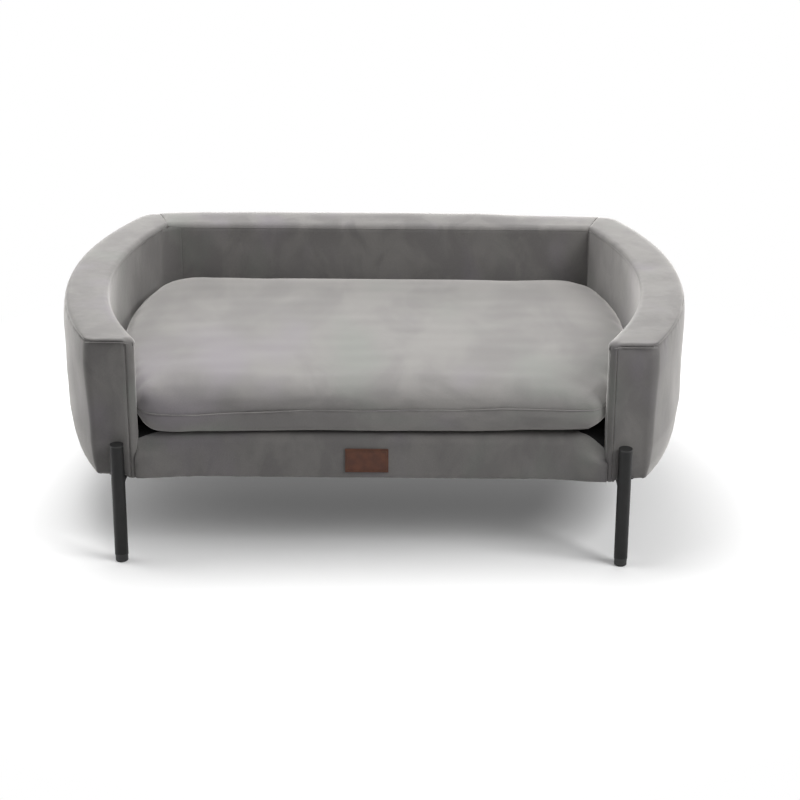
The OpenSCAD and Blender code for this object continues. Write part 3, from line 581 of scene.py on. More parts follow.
def armArcX(radius, y):
    return bed["armX"] + sqrt(radius ** 2 - (y - bed["armY"]) ** 2)


def armAngle(x, y):
    return atan2(y - bed["armY"], x - bed["armX"]) * 180 / pi


def seamX(y):
    return seamFrontX + bed["seamLean"] * (y - bed["innerRear"]) / (bed["rear"] - bed["innerRear"])


seamFrontX = armArcX(bed["armInner"], bed["innerRear"])


def outerPath(radius):  # from the seam on the front face, round the outside, to the rear seam
    inset = bed["armOuter"] - radius
    r = arm["frontOuter"]
    frontY = bed["front"]
    centreX = armArcX(radius - r, frontY + r)
    turn = armAngle(centreX, frontY + r)
    corner = arm["cornerR"] - inset
    rearY = bed["rear"] - inset
    rearX = armArcX(radius - corner, rearY - corner)
    rearTurn = armAngle(rearX, rearY - corner)
    return planPath(
        [(arm["seamX"], frontY)],
        arcPoints(centreX, frontY + r, r, -90, turn),
        arcPoints(bed["armX"], bed["armY"], radius, turn, rearTurn),
        arcPoints(rearX, rearY - corner, corner, rearTurn, 90),
        [(seamX(rearY), rearY)],
    )


edgeY = bed["front"] + arm["frontInner"]  # the soft inner front edge of the arm turns about this line
edgeX = armArcX(bed["armInner"] + arm["frontInner"], edgeY)
edgeTurn = armAngle(edgeX, edgeY)


def innerPath(fold):  # from the seam on the front face, round the soft inner edge, to the fold at the back
    foldY = bed["innerRear"] - fold
    foldX = armArcX(bed["armInner"] - fold, foldY)
    foldTurn = armAngle(foldX, foldY)
    return planPath(
        arcPoints(edgeX, edgeY, arm["frontInner"], 264, 180 + edgeTurn),
        arcPoints(bed["armX"], bed["armY"], bed["armInner"], edgeTurn, foldTurn),
        arcPoints(foldX, foldY, fold, foldTurn, 90),
    )


def softLine(value, places, heights, count=241, width=19):  # a smooth line through the given points
    ends = np.linspace(places[0], places[-1], count)
    level = np.interp(ends, places, heights)
    kernel = np.hanning(width)
    half = width // 2
    before, after = 2 * level[0] - level[half:0:-1], 2 * level[-1] - level[-2:-half - 2:-1]
    padded = np.concatenate([before, level, after])
    return np.interp(value, ends, np.convolve(padded, kernel / kernel.sum(), mode="valid"))


def backLean(high):  # how far the back's outer side stands out from the rearmost line
    lean = bed["backIn"] + (arm["inset"] - bed["backIn"]) * smoothStep(high, 0.25, 1.0)
    return np.sin(np.clip(high, 0, 1) * pi) ** 0.8 * bed["backSwell"] - lean


def armBulge(a, b):  # widest just under the top edge, leaning in to the foot, most so at the front
    high = np.clip(b / wallHigh, 0, 1)
    nearFront = np.exp(-np.maximum(a - arm["taperFull"], 0) / arm["taperReach"])
    nearFront = nearFront * np.clip((a - arm["taperFrom"]) / 0.03, 0, 1)
    onSide = np.clip((a - arm["faceEnd"]) / 0.02, 0, 1)
    lean = softLine(high, arm["leanHeights"], arm["leanOut"])
    lean = lean - nearFront * arm["taper"] * np.clip((0.8 - high) / 0.5, 0, 1)
    out = onSide * lean - (1 - onSide) * arm["faceIn"]
    nearBack = smoothStep(a, *(outer[1][-1] - end for end in arm["nearBack"]))
    return out * (1 - nearBack) + backLean(high) * nearBack


def outerSurface(make, sideHigh):  # it reaches up to the welt in front, and to the rolled edge at the rear
    plain = wallSurface(outer, bed["foot"], armBulge)

    def surface(a, b):
        y = follow(outer, a)[0][..., 1]
        side = arm["softRise"] * (1 - smoothStep(y, *make["softFrom"]))
        rise = side + (arm["weltRise"] - make["welt"] - side) * (1 - smoothStep(a, *arm["weltEnd"]))
        return plain(a, b) + np.array([0, 0, 1]) * (rise * np.clip(b / sideHigh, 0, 1) ** 2)[..., None]
    return surface


outer = outerPath(bed["armOuter"])
topFrontY = bed["front"] - arm["frontLap"]
topInnerRadius = bed["armInner"] - arm["overhang"]
topInner = planPath(arcPoints(
    bed["armX"], bed["armY"], topInnerRadius,
    armAngle(armArcX(bed["armInner"], topFrontY), topFrontY), armAngle(seamFrontX, bed["innerRear"]),
))
topRadius = bed["armOuter"] - arm["inset"] + arm["topOut"]
topRearY = bed["rear"] - arm["inset"] + arm["topOut"]
topCorner = arm["cornerR"] - arm["inset"]
topRearX = armArcX(topRadius - topCorner, topRearY - topCorner)
topFrontTurn = armAngle(armArcX(topRadius, topFrontY), topFrontY)
topTurn = armAngle(topRearX, topRearY - topCorner)
topOuter = planPath(
    arcPoints(bed["armX"], bed["armY"], topRadius, topFrontTurn, topTurn),
    arcPoints(topRearX, topRearY - topCorner, topCorner, topTurn, 90),
    [(seamX(topRearY), topRearY)],
)
topWide = bed["armOuter"] - bed["armInner"] - arm["inset"]
topLong = (topInner[1][-1] + topOuter[1][-1]) / 2


def armTopSurface(a, b):
    share = a / topLong
    near, _ = follow(topInner, share * topInner[1][-1])
    far, _ = follow(topOuter, share * topOuter[1][-1])
    across = (b / topWide)[..., None]
    flat = near * (1 - across) + far * across
    fromEdge = flat - np.array([edgeX, edgeY])
    turn = np.mod(np.arctan2(fromEdge[..., 1], fromEdge[..., 0]), 2 * pi)
    first, last = radians(180 + edgeTurn), 1.5 * pi
    atCorner = ((turn > first) & (turn < last))[..., None]
    shrink = np.maximum(np.cos(turn - first), np.cos(last - turn))[..., None]
    flat = np.where(atCorner, np.array([edgeX, edgeY]) + fromEdge * shrink, flat)
    crown = arm["crown"] * np.sin(np.clip(b / topWide, 0, 1) ** 1.3 * pi) ** 0.6
    return np.concatenate([flat, (bed["top"] + crown)[..., None]], -1)


def topChange(make):  # soft at the inner front corner, and along the rear part of the outer edge
    def change(a, b):
        y = follow(topOuter, a / topLong * topOuter[1][-1])[0][..., 1]
        outerPart = smoothStep(y, *make["softFrom"])
        corner = (1 - smoothStep(b, *arm["ballWide"])) * (1 - smoothStep(a, *arm["ballLong"]))
        share = smoothStep(b, topWide * 0.35, topWide * 0.65)
        return outerPart * share + corner * (1 - share)
    return change


# Fine ridges of cloth along the arms' upper edges, and down the right arm's inner front edge, in the lighter
# cord velvet, which paints a highlight along them
ridge = {
    "edge": 0.0006,  # radii
    "front": 0.0005,
    "inner": 0.0007,
    "sunk": 0.0002,
    "belowTop": 0.0026,
    "frontFrom": 0.3345,
    "frontTo": 0.3880,
    "innerFoot": 0.166,
    "innerTop": 0.318,
    "innerBend": 0.0012,  # how far its top end bends outwards
    "innerTurn": radians(213),  # where it stands on the soft edge
}


def layRidges(side, sign):
    make = arm[side]
    here, normal = follow(topOuter, np.linspace(arm["frontInner"], topOuter[1][-1] * 0.5, 260))
    here = (here + normal * 0.0001)[here[:, 1] < make["ridgeTo"]]
    edge = [(x * sign, y, bed["top"] - ridge["belowTop"]) for x, y in here]
    layCord(side + "_edge_ridge", edge, ridge["edge"], velvetCordPaintedHighlight, "tub")
    across = np.linspace(ridge["frontFrom"], ridge["frontTo"], 40) * sign
    lip = bed["top"] - make["welt"] - ridge["sunk"]
    front = [(x, bed["front"] - ridge["sunk"], lip) for x in across]
    layCord(side + "_front_ridge", front, ridge["front"], velvetCordPaintedHighlight, "tub")


for side, mirrored in (("right", False), ("left", True)):
    make = arm[side]
    seed = 40 if mirrored else 10
    frontSeam = seamRoll if mirrored else flushSeam
    rearSeam = flushSeam if mirrored else softSeam
    cover = side + "_arm_cover"

    outerHigh = wallHigh - arm["outerDrop"]
    panel = sewPanel(
        outerSurface(make, outerHigh), (outer[1][-1], outerHigh), (frontSeam, flatSeam, hemFold, lipSeam),
        1, mirrored, seed=seed, crease=0.0006, others=(frontSeam, flatSeam, hemFold, tuckSeam),
        change=lambda a, b: smoothStep(follow(outer, a)[0][..., 1], *make["softFrom"]),
    )
    covers = [cover, side + "_arm_facing"]
    finish(panel, side + "_arm_outer_panel", velvetWall, "tub", covers)

    inner = innerPath(make["fold"])
    panel = sewPanel(
        wallSurface(inner, bed["foot"], tucked=hem["tuck"]), (inner[1][-1], wallHigh - arm["innerDrop"]),
        (frontSeam, rearSeam, hemFold, tuckSeam), -1, mirrored, seed=seed + 3, crease=0.0007, pucker=0.0001,
    )
    finish(panel, side + "_arm_inner_panel", velvetWall, "tub", [cover])

    panel = sewPanel(
        armTopSurface, (topLong, topWide), (weltRoll(make["welt"]), rearSeam, innerRoll, crispRoll), -1,
        mirrored, radii=(0.0001, 0.002, arm["topFrontOuter"], 0.002), seed=seed + 6, spacing=0.003,
        pucker=0.00008, crease=0.0004, others=(cornerRoll, rearSeam, cornerRoll, wideRoll),
        change=topChange(make),
    )
    finish(panel, side + "_arm_top_panel", velvetWall, "tub", [cover])
    layRidges(side, -1 if mirrored else 1)

reach = arm["frontInner"] - ridge["sunk"]
innerX, innerY = edgeX + reach * cos(ridge["innerTurn"]), edgeY + reach * sin(ridge["innerTurn"])
layCord("right_inner_ridge", [
    (innerX + ridge["innerBend"] * smoothStep(z, 0.300, ridge["innerTop"]), innerY, z)
    for z in np.linspace(ridge["innerFoot"], ridge["innerTop"], 60)
], ridge["inner"], velvetCordPaintedHighlight, "tub")
print("arms dressed")

# Back

back = {
    "fullness": 0.0064,  # how much its top is stuffed, and how much less so towards the right
    "less": 0.6,
    "lessFrom": (0.14, 0.27),
    "leftTuck": 0.0010,  # each end tucks in behind the arm's panel
    "rightTuck": 0.0016,
    "innerDrop": 0.0100,  # how far below the top the inner and the outer panel end
    "outerDrop": 0.0038,
}
backTopWide = topRearY - bed["innerRear"] + arm["overhang"]


def backTopSurface(a, b):
    y = bed["innerRear"] - arm["overhang"] + b
    half = seamX(y)
    x = (a / (2 * seamFrontX) * 2 - 1) * half
    across = np.clip(b / backTopWide, 0, 1)
    fullness = back["fullness"] * np.sqrt(np.clip(1 - (x / half) ** 4, 0, 1))
    fullness = fullness * (1 - back["less"] * smoothStep(x, *back["lessFrom"]))
    crown = arm["crown"] * np.sin(across ** 1.3 * pi) ** 0.6 + fullness * np.sin(across ** 1.8 * pi) ** 0.6
    return np.stack([x, y, bed["top"] + crown], -1)


leftFold = arm["left"]["fold"]
backLeft = back["leftTuck"] + armArcX(bed["armInner"] - leftFold, bed["innerRear"] - leftFold)
backRight = back["rightTuck"] + seamFrontX
backInner = planPath([(x, bed["innerRear"]) for x in (-backLeft, 0.0, backRight)])
seamRearX = seamX(bed["rear"])
backOuter = planPath([(x, bed["rear"]) for x in (seamRearX, 0.0, -seamRearX)])

panel = sewPanel(
    wallSurface(backInner, bed["foot"] + hem["tuck"]), (backLeft + backRight, wallHigh - back["innerDrop"]),
    (flushSeam, seamRoll, hemFold, tuckSeam), seed=70, crease=0.0008, pucker=0.0001,
)
finish(panel, "back_inner_panel", velvetWall, "tub", ["back_cover"])
panel = sewPanel(
    backTopSurface, (2 * seamFrontX, backTopWide), (flushSeam, softSeam, innerRoll, innerRoll),
    seed=74, spacing=0.003, pucker=0.00012,
)
# The back's top is in the lightened velvet, which paints the light from behind on it
finish(panel, "back_top_panel", velvetBackTopPaintedLight, "tub", ["back_cover"])
panel = sewPanel(
    wallSurface(backOuter, bed["foot"], lambda a, b: backLean(b / wallHigh)),
    (2 * seamRearX, wallHigh - back["outerDrop"]), (flatSeam, flatSeam, hemFold, tuckSeam),
    seed=78, crease=0.0007,
)
finish(panel, "back_outer_panel", velvetWall, "tub", ["back_cover"])
print("back dressed")

# Apron: the front strip, whose upper edge rolls over under the cushion

apron = {
    "face": -0.2726,
    "deep": 0.0316,
    "roll": 0.014,
    "top": 0.1868,
    "long": 0.655,
    "belly": 0.0008,  # how far its face swells, up to bellyHigh above its foot
    "bellyHigh": 0.05,
    "end": 0.3275,  # each end lies over the soft inner edge of the arm, up to tuckTo along the profile
    "tuckTo": (0.040, 0.085),
    "wrap": 0.0088,  # how far forwards it wraps round that edge, and from where
    "wrapFrom": (0.240, 0.3265),
    "edgeDeep": 0.0056,
    "gap": 0.0008,
    "keep": 0.024,  # the lowest part of the strip, which nothing is cut from
    # its top is cut away towards the arms: over how far, how the cut curves, and the length that is left
    "right": (0.058, 1.0, 0.0392),
    "left": (0.085, 1.1, 0.0550),
}


def apronProfile(inset, r, rise=0.0):  # from the foot up the face, over the roll and back, as y and z
    y, top = apron["face"] + inset, apron["top"] - inset
    turn = np.linspace(pi, pi / 2, 40)
    roll = np.stack([y + r + r * np.cos(turn), top - r + r * np.sin(turn)], -1)
    return planPath([(y, bed["foot"]), (y, top - r)], roll, [(apron["face"] + apron["deep"], top + rise)])


apronPath = apronProfile(0.0, apron["roll"])


def arcHalf(y, radius):  # half of the width between the arms' arcs of this radius
    return bed["armX"] + np.sqrt(radius ** 2 - (y - bed["armY"]) ** 2)


def apronEnd(y):  # where the apron meets the arm's soft inner edge, and the arm's inner face behind that
    r = arm["frontInner"]
    edge = edgeX - np.sqrt(np.maximum(r ** 2 - (y - edgeY) ** 2, 0.0))
    return np.where(y < edgeY + apron["edgeDeep"], edge, arcHalf(y, bed["armInner"])) - apron["gap"]


def apronCut(x, armEdge):  # the length, along the profile, that is left at each place
    whole = apronPath[1][-1]
    reach, curve, cutTo = (
        np.where(x > 0, right, left) for right, left in zip(apron["right"], apron["left"])
    )
    return cutTo + (whole - cutTo) * np.clip((armEdge - np.abs(x)) / reach, 0, 1) ** curve


def apronSurface(a, b):  # its ends wrap over the arms' soft edges, and its top is cut away towards them
    tuck = 1 - smoothStep(b, *apron["tuckTo"])
    armEdge = apronEnd(np.interp(b, apronPath[1], apronPath[0][:, 0]))
    half = armEdge * (1 - tuck) + apron["end"] * tuck
    x = (a / apron["long"] * 2 - 1) * half
    keep = apron["keep"]
    left = (apronCut(x, armEdge) - keep) / (apronPath[1][-1] - keep)
    here, _ = follow(apronPath, np.where(b > keep, keep + (b - keep) * left, b))
    y, z = here[..., 0], here[..., 1]
    forward = apron["wrap"] * smoothStep(np.abs(x), *apron["wrapFrom"]) * tuck
    belly = apron["belly"] * np.sin(np.clip((z - bed["foot"]) / apron["bellyHigh"], 0, 1) * pi)
    return np.stack([x, y - belly - forward, z], -1)


panel = sewPanel(
    apronSurface, (apron["long"], apronPath[1][-1]), (softSeam, softSeam, hemFold, flatSeam),
    seed=90, crease=0.0006, pucker=0.0004,
)
finish(panel, "apron_panel", velvetWall, "tub", ["apron_cover"])
print("apron dressed")

# Cushion: a boxed cushion, swollen by cloth simulation, then given its piped seam

cushion = {
    "front": -0.2812,
    "rear": 0.2125,
    "sideRadius": 0.517,
    "frontCorner": 0.024,
    "rearCorner": 0.075,
    "under": 0.1886,
    "middleY": -0.02,  # the cloth moves out from and in towards this place
    "shrink": 0.0035,  # the stuffing swells the cover by about this much
    "sides": (  # its rings from the underside to the top: how far in, and how high
        (0.012, 0.0), (0.0045, 0.0003), (0.0016, 0.0018), (0.0008, 0.006), (0.0003, 0.024), (0.0, 0.0385),
        (0.0005, 0.0440), (0.0022, 0.0499), (0.0062, 0.0547), (0.0122, 0.0578), (0.023, 0.0602),
        (0.040, 0.0619), (0.070, 0.0632),
    ),
    "crown": 0.0060,  # how much the top rises towards the middle, and over how far
    "crownReach": 0.17,
    "crownFrom": 0.045,
    "voxel": 0.0055,
    "cap": 0.0030,  # the furthest that the stuffing may move the cloth
    "steps": 20,
    "seam": 0.0385,  # height of the piped seam above the underside
    "seamShape": (  # heights from the seam, and how far out the cloth stands there
        (-0.0120, 0.0), (-0.0048, -0.0002), (-0.0022, -0.0003), (-0.0009, -0.0006), (0.0, -0.0012),
        (0.0009, -0.0006), (0.0022, 0.0004), (0.0048, 0.0006), (0.0120, 0.0),
    ),
    # along the front: how far the seam runs above or below its height, and how far the bottom edge is lifted
    "seamRun": (
        (-0.36, -0.33, -0.27, -0.225, -0.16, -0.11, 0.0, 0.05, 0.10, 0.15, 0.20, 0.25, 0.33, 0.36),
        (-0.0064, -0.0066, -0.0100, -0.0078, -0.0048, -0.0028, -0.0024, -0.0016, -0.0006, 0.0, 0.0012,
         0.0022, 0.0030, 0.0030),
    ),
    "edgeRun": (
        (-0.36, -0.323, -0.316, -0.305, -0.293, -0.270, -0.247, -0.224, -0.178, -0.143, -0.109, -0.062, 0.0,
         0.10, 0.15, 0.21, 0.25, 0.275, 0.290, 0.311, 0.323, 0.36),
        (0.0260, 0.0165, 0.0105, 0.0050, 0.0, -0.0038, -0.0048, -0.0050, -0.0030, 0.0, 0.0014, 0.0022,
         0.0012, 0.0024, 0.0036, 0.0056, 0.0094, 0.0122, 0.0136, 0.0156, 0.0176, 0.0230),
    ),
    "runReach": 0.36,
    "seamRunTo": (-0.24, -0.12),  # depths over which each of them fades
    "edgeRunTo": (-0.24, -0.16),
    "lowHigh": 0.034,  # height below which the cloth moves with the bottom edge
    "wander": 0.0004,  # how far the seam and the edge wander
    "ears": (0.0085, 0.0040),  # how far the front corners stand out sideways and forwards
    "earsTo": (-0.255, -0.13),
    "earsFrom": (0.20, 0.285),
    "wallGap": 0.0008,
    "sideBand": 0.022,  # how far in the cloth still counts as the side
    "gather": 0.0005,  # beside the seam, up to about gatherReach from it
    "gatherReach": 0.009,
    "creases": 0.00022,  # on top, with the broad waves
    "waves": 0.0008,
    "piping": 0.0008,  # radius of the cord
    "pipingSunk": 0.0009,
}


def cushionOutline(inset, count):
    side, front, rear = cushion["sideRadius"] - inset, cushion["front"] + inset, cushion["rear"] - inset
    nearR, farR = cushion["frontCorner"] - inset, cushion["rearCorner"] - inset
    nearX, farX = armArcX(side - nearR, front + nearR), armArcX(side - farR, rear - farR)
    nearTurn, farTurn = armAngle(nearX, front + nearR), armAngle(farX, rear - farR)
    right = np.vstack([
        [(0.0, front)],
        arcPoints(nearX, front + nearR, nearR, -90, nearTurn),
        arcPoints(bed["armX"], bed["armY"], side, nearTurn, farTurn),
        arcPoints(farX, rear - farR, farR, farTurn, 90),
        [(0.0, rear)],
    ])
    path = planPath(right, right[::-1] * np.array([-1.0, 1.0]))
    distance = np.linspace(0, path[1][-1], count, endpoint=False)
    return follow(path, distance)[0]


def ringAt(inset, high, count=260):
    flat = cushionOutline(inset + cushion["shrink"], count)
    return np.concatenate([flat, np.full((count, 1), cushion["under"] + high)], -1)


def stackRings(rings):  # a closed body, extruded from ring to ring
    deselectAll()
    bpy.ops.mesh.primitive_circle_add(vertices=len(rings[0]), radius=1, fill_type="NGON")
    body = bpy.context.object
    setCoords(body.data, rings[0])
    bpy.ops.object.mode_set(mode="EDIT")
    bpy.ops.mesh.select_all(action="SELECT")
    for last, ring in zip(rings, rings[1:]):
        bpy.ops.mesh.extrude_region()
        mesh = bmesh.from_edit_mesh(body.data)
        for vertex in (v for v in mesh.verts if v.select):
            nearest = np.argmin(((last - np.array(vertex.co)) ** 2).sum(1))
            vertex.co = ring[nearest]
        bmesh.update_edit_mesh(body.data)
    bpy.ops.mesh.select_all(action="SELECT")
    bpy.ops.mesh.normals_make_consistent(inside=False)
    bpy.ops.object.mode_set(mode="OBJECT")
    return body


def edgeDistance(points):  # distance in from the cushion's outline, in plan
    x, y = np.abs(points[..., 0]), points[..., 1]
    fromSide = cushion["sideRadius"] - np.hypot(x - bed["armX"], y - bed["armY"])
    inward = np.minimum(np.minimum(y - cushion["front"], cushion["rear"] - y), fromSide)
    for end, sign in (("front", -1), ("rear", 1)):
        r = cushion[end + "Corner"]
        cy = cushion[end] - sign * r
        cx = armArcX(cushion["sideRadius"] - r, cy)
        turn = np.arctan2(cy - bed["armY"], cx - bed["armX"])
        angle = np.arctan2(y - cy, x - cx)
        inCorner = (sign * (y - cy) > 0) & (sign * angle > sign * turn) & (x > cx)
        inward = np.where(inCorner, r - np.hypot(x - cx, y - cy), inward)
    return inward


def outwards(flat):
    away = flat - np.array([0.0, cushion["middleY"]])
    return away / np.maximum(np.linalg.norm(away, axis=1, keepdims=True), 1e-6)


def seamHeight(x, y):  # the seam wanders a little and dips at the front left
    along = np.clip(x, -cushion["runReach"], cushion["runReach"])
    run = softLine(along, *cushion["seamRun"]) * (1 - smoothStep(y, *cushion["seamRunTo"]))
    wander = cushion["wander"] * np.sin(x * 41 + y * 23)
    return cushion["under"] + cushion["seam"] + wander + run


pad = stackRings([ringAt(inset, high) for inset, high in cushion["sides"]])
applyModifier(pad, "REMESH", mode="VOXEL", voxel_size=cushion["voxel"])
rest = getCoords(pad.data)
onTop = np.clip((rest[:, 2] - cushion["under"] - cushion["crownFrom"]) / 0.012, 0, 1)
rest[:, 2] += onTop * cushion["crown"] * np.clip(edgeDistance(rest) / cushion["crownReach"], 0, 1) ** 0.8
setCoords(pad.data, rest)
pick(pad)
stuffing = pad.modifiers.new("Stuffing", "CLOTH")
stuffing.settings.quality = 6
stuffing.settings.mass = 0.35
stuffing.settings.use_pressure = True
stuffing.settings.uniform_pressure_force = 2.4
stuffing.settings.shrink_min = -0.012
stuffing.settings.tension_stiffness = 22
stuffing.settings.compression_stiffness = 18
stuffing.settings.bending_stiffness = 0.35
stuffing.settings.effector_weights.gravity = 0.0
stuffing.point_cache.frame_end = cushion["steps"]
for step in range(1, cushion["steps"] + 1):
    scene.frame_set(step)
bpy.ops.object.modifier_apply(modifier=stuffing.name)
scene.frame_set(1)
move = getCoords(pad.data) - rest
size = np.linalg.norm(move, axis=1, keepdims=True)
print("cushion swelled by up to", round(float(size.max()) * 1000, 1), "mm")
move *= np.minimum(1.0, cushion["cap"] / np.maximum(size, 1e-9))
setCoords(pad.data, rest + move)
pick(pad)
bpy.ops.object.mode_set(mode="EDIT")
bpy.ops.mesh.select_all(action="SELECT")
bpy.ops.mesh.vertices_smooth(factor=0.5, repeat=9)
bpy.ops.object.mode_set(mode="OBJECT")
applyModifier(pad, "SUBSURF", levels=1, render_levels=1)

# Keeps the cushion clear of the walls and flat on the deck
points = getCoords(pad.data)
print("cushion grid:", len(points), "vertices, top at", round(float(points[:, 2].max()), 4))
tooFar = np.maximum(cushion["wallGap"] - edgeDistance(points), 0.0)
points[:, :2] -= outwards(points[:, :2]) * tooFar[:, None]
points[:, 2] = np.maximum(points[:, 2], cushion["under"])

# Loops along the seam: the cushion is levelled by the seam's height, cut flat, and put back
points[:, 2] -= seamHeight(points[:, 0], points[:, 1])
setCoords(pad.data, points)
pick(pad)
bpy.ops.object.mode_set(mode="EDIT")
for rise, out in cushion["seamShape"]:
    bpy.ops.mesh.select_all(action="SELECT")
    bpy.ops.mesh.bisect(plane_co=(0, 0, rise), plane_no=(0, 0, 1))
bpy.ops.mesh.select_all(action="DESELECT")
bpy.ops.object.mode_set(mode="OBJECT")
points = getCoords(pad.data)
fromSeam = points[:, 2].copy()
points[:, 2] += seamHeight(points[:, 0], points[:, 1])

# Sinks the seam and gathers the cloth beside it
ear = 1 - smoothStep(points[:, 1], *cushion["earsTo"])
ear *= smoothStep(np.abs(points[:, 0]), *cushion["earsFrom"])
ear *= 1 - 0.75 * smoothStep(edgeDistance(points), 0.0, 0.09)
heights, steps = zip(*cushion["seamShape"])
onSide = np.clip((cushion["sideBand"] - edgeDistance(points)) / 0.012, 0, 1)
gather = cushion["gather"] * softNoise(points, 0.015, 7)
gather *= np.exp(-np.abs(fromSeam) / cushion["gatherReach"])
shape = np.interp(fromSeam, heights, steps)
points[:, :2] += outwards(points[:, :2]) * (onSide * (gather + shape))[:, None]

# Lifts or drops the bottom edge, lays creases on top, and pulls the front corners out
low = np.clip(1 - (points[:, 2] - cushion["under"]) / cushion["lowHigh"], 0, 1)
along = np.clip(points[:, 0], -cushion["runReach"], cushion["runReach"])
lift = softLine(along, *cushion["edgeRun"])
fromEdge = edgeDistance(points)
fade = np.where(lift > 0, smoothStep(fromEdge, 0.002, 0.040), smoothStep(fromEdge, 0.009, 0.016))
lift *= (1 - smoothStep(points[:, 1], *cushion["edgeRunTo"])) * (1 - fade)
points[:, 2] += low * (lift + onSide * cushion["wander"] * softNoise(points * [1, 1, 0], 0.05, 5))
creases = softNoise(points * np.array([0.35, 1.0, 1.0]), 0.045, 9)
waves = softNoise(points, 0.16, 12)
onTop = np.clip((fromEdge - 0.012) / 0.05, 0, 1) * (points[:, 2] > cushion["under"] + 0.03)
points[:, 2] += onTop * (cushion["creases"] * creases + cushion["waves"] * waves)
points[:, 0] += np.sign(points[:, 0]) * cushion["ears"][0] * ear
points[:, 1] -= cushion["ears"][1] * ear
setCoords(pad.data, points)
# The cushion is in the lightened velvet, which paints the brighter light on it
finish(pad, "cushion_velvet", velvetSeatPaintedLight, "cushion", ["cushion_cover"], smooth=80)

shell = BVHTree.FromObject(pad, bpy.context.evaluated_depsgraph_get())
piping = []
for x, y in cushionOutline(-0.03, 420):
    inwards = Vector((-x, cushion["middleY"] - y, 0)).normalized()
    start = Vector((x, y, seamHeight(x, y)))
    hit = shell.ray_cast(start, inwards)[0]
    piping.append(hit - inwards * cushion["pipingSunk"] if hit else start)
# The piping is in the lighter cord velvet, which paints a highlight along the seam
layCord("cushion_piping", piping, cushion["piping"], velvetCordPaintedHighlight, "cushion", closed=True)
print("cushion made")

# Black cloths: over the deck, in the front corners, and under the body

cloths = {
    "deckFront": -0.2424,
    "deckSize": (0.74, 0.4615),
    "deckGap": 0.0014,  # between the cloth and the arms
    "liningFrom": 0.032,  # along the apron's profile, on a line drawn in from the apron
    "liningInset": 0.0025,
    "liningRoll": 0.008,
    "liningRise": 0.0029,
    "liningWide": 0.065,
    "liningX": 0.250,
    "underFront": -0.2650,
    "underSize": (0.86, 0.5335),
    "underStep": 0.012,  # how far inside the hems the stapled cloth ends
    "underCorner": 0.04,
    "cornerFrom": 0.2285,
    "underRise": 0.0038,
}


def deckSurface(a, b):
    y = cloths["deckFront"] + b
    half = arcHalf(y, bed["armInner"]) - cloths["deckGap"]
    return np.stack([(a / cloths["deckSize"][0] * 2 - 1) * half, y, 0.0 * y + bed["seat"] - 0.0005], -1)


panel = sewPanel(
    deckSurface, cloths["deckSize"], (rawEdge,) * 4, crease=0.0001, pucker=0.0, spacing=0.012, seed=101,
    wall=0.0008,
)
finish(panel, "deck_cloth_laid", blackCloth, "tub", ["deck_cloth"])

liningPath = apronProfile(cloths["liningInset"], cloths["liningRoll"], cloths["liningRise"])


def liningSurface(sign):  # it lies under the apron's cut-away top
    def surface(a, b):
        y, z = np.moveaxis(follow(liningPath, cloths["liningFrom"] + b)[0], -1, 0)
        across = (apronEnd(y) + 0.0006 - cloths["liningX"]) * a / cloths["liningWide"]
        return np.stack([sign * (cloths["liningX"] + across), y, z], -1)
    return surface


for side, sign in (("right", 1), ("left", -1)):
    panel = sewPanel(
        liningSurface(sign), (cloths["liningWide"], liningPath[1][-1] - cloths["liningFrom"]),
        (rawEdge,) * 4, sign, crease=0.0, pucker=0.0, spacing=0.003, seed=107, wall=0.0006,
    )
    finish(panel, side + "_corner_lining", blackCloth, "tub")


def underSurface(a, b):  # the cloth stapled under the body
    y = cloths["underFront"] + b
    r = cloths["underCorner"]
    corner = np.sqrt(np.maximum(r ** 2 - np.maximum(y - cloths["cornerFrom"], 0) ** 2, 0)) - r
    half = arcHalf(y, bed["armOuter"] - cloths["underStep"]) + corner
    high = bed["foot"] + cloths["underRise"]
    return np.stack([(a / cloths["underSize"][0] * 2 - 1) * half, y, 0.0 * y + high], -1)


panel = sewPanel(
    underSurface, cloths["underSize"], (rawEdge,) * 4, -1, crease=0.0, pucker=0.0, spacing=0.012, seed=103,
    wall=0.0004,
)
finish(panel, "dust_cloth_stapled", blackCloth, "tub", ["dust_cloth"])
print("cloths laid")

# Foam under the covers, drawn in so that the sunk seams stay clear of it
drawnIn = 0.0024
for name in ("right_arm_foam", "left_arm_foam", "back_foam", "apron_foam"):
    block = bpy.data.objects.new(name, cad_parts[name].data.copy())
    scene.collection.objects.link(block)
    pick(block)
    bpy.ops.object.mode_set(mode="EDIT")
    bpy.ops.mesh.select_all(action="SELECT")
    bpy.ops.mesh.remove_doubles(threshold=0.00002)
    bpy.ops.mesh.dissolve_limited(angle_limit=radians(0.5))
    bpy.ops.transform.shrink_fatten(value=-drawnIn, use_even_offset=True)
    bpy.ops.object.mode_set(mode="OBJECT")
    finish(block, name + "_block", foam, "tub", [name], smooth=40)
print("foam drawn in")

# Leather patch

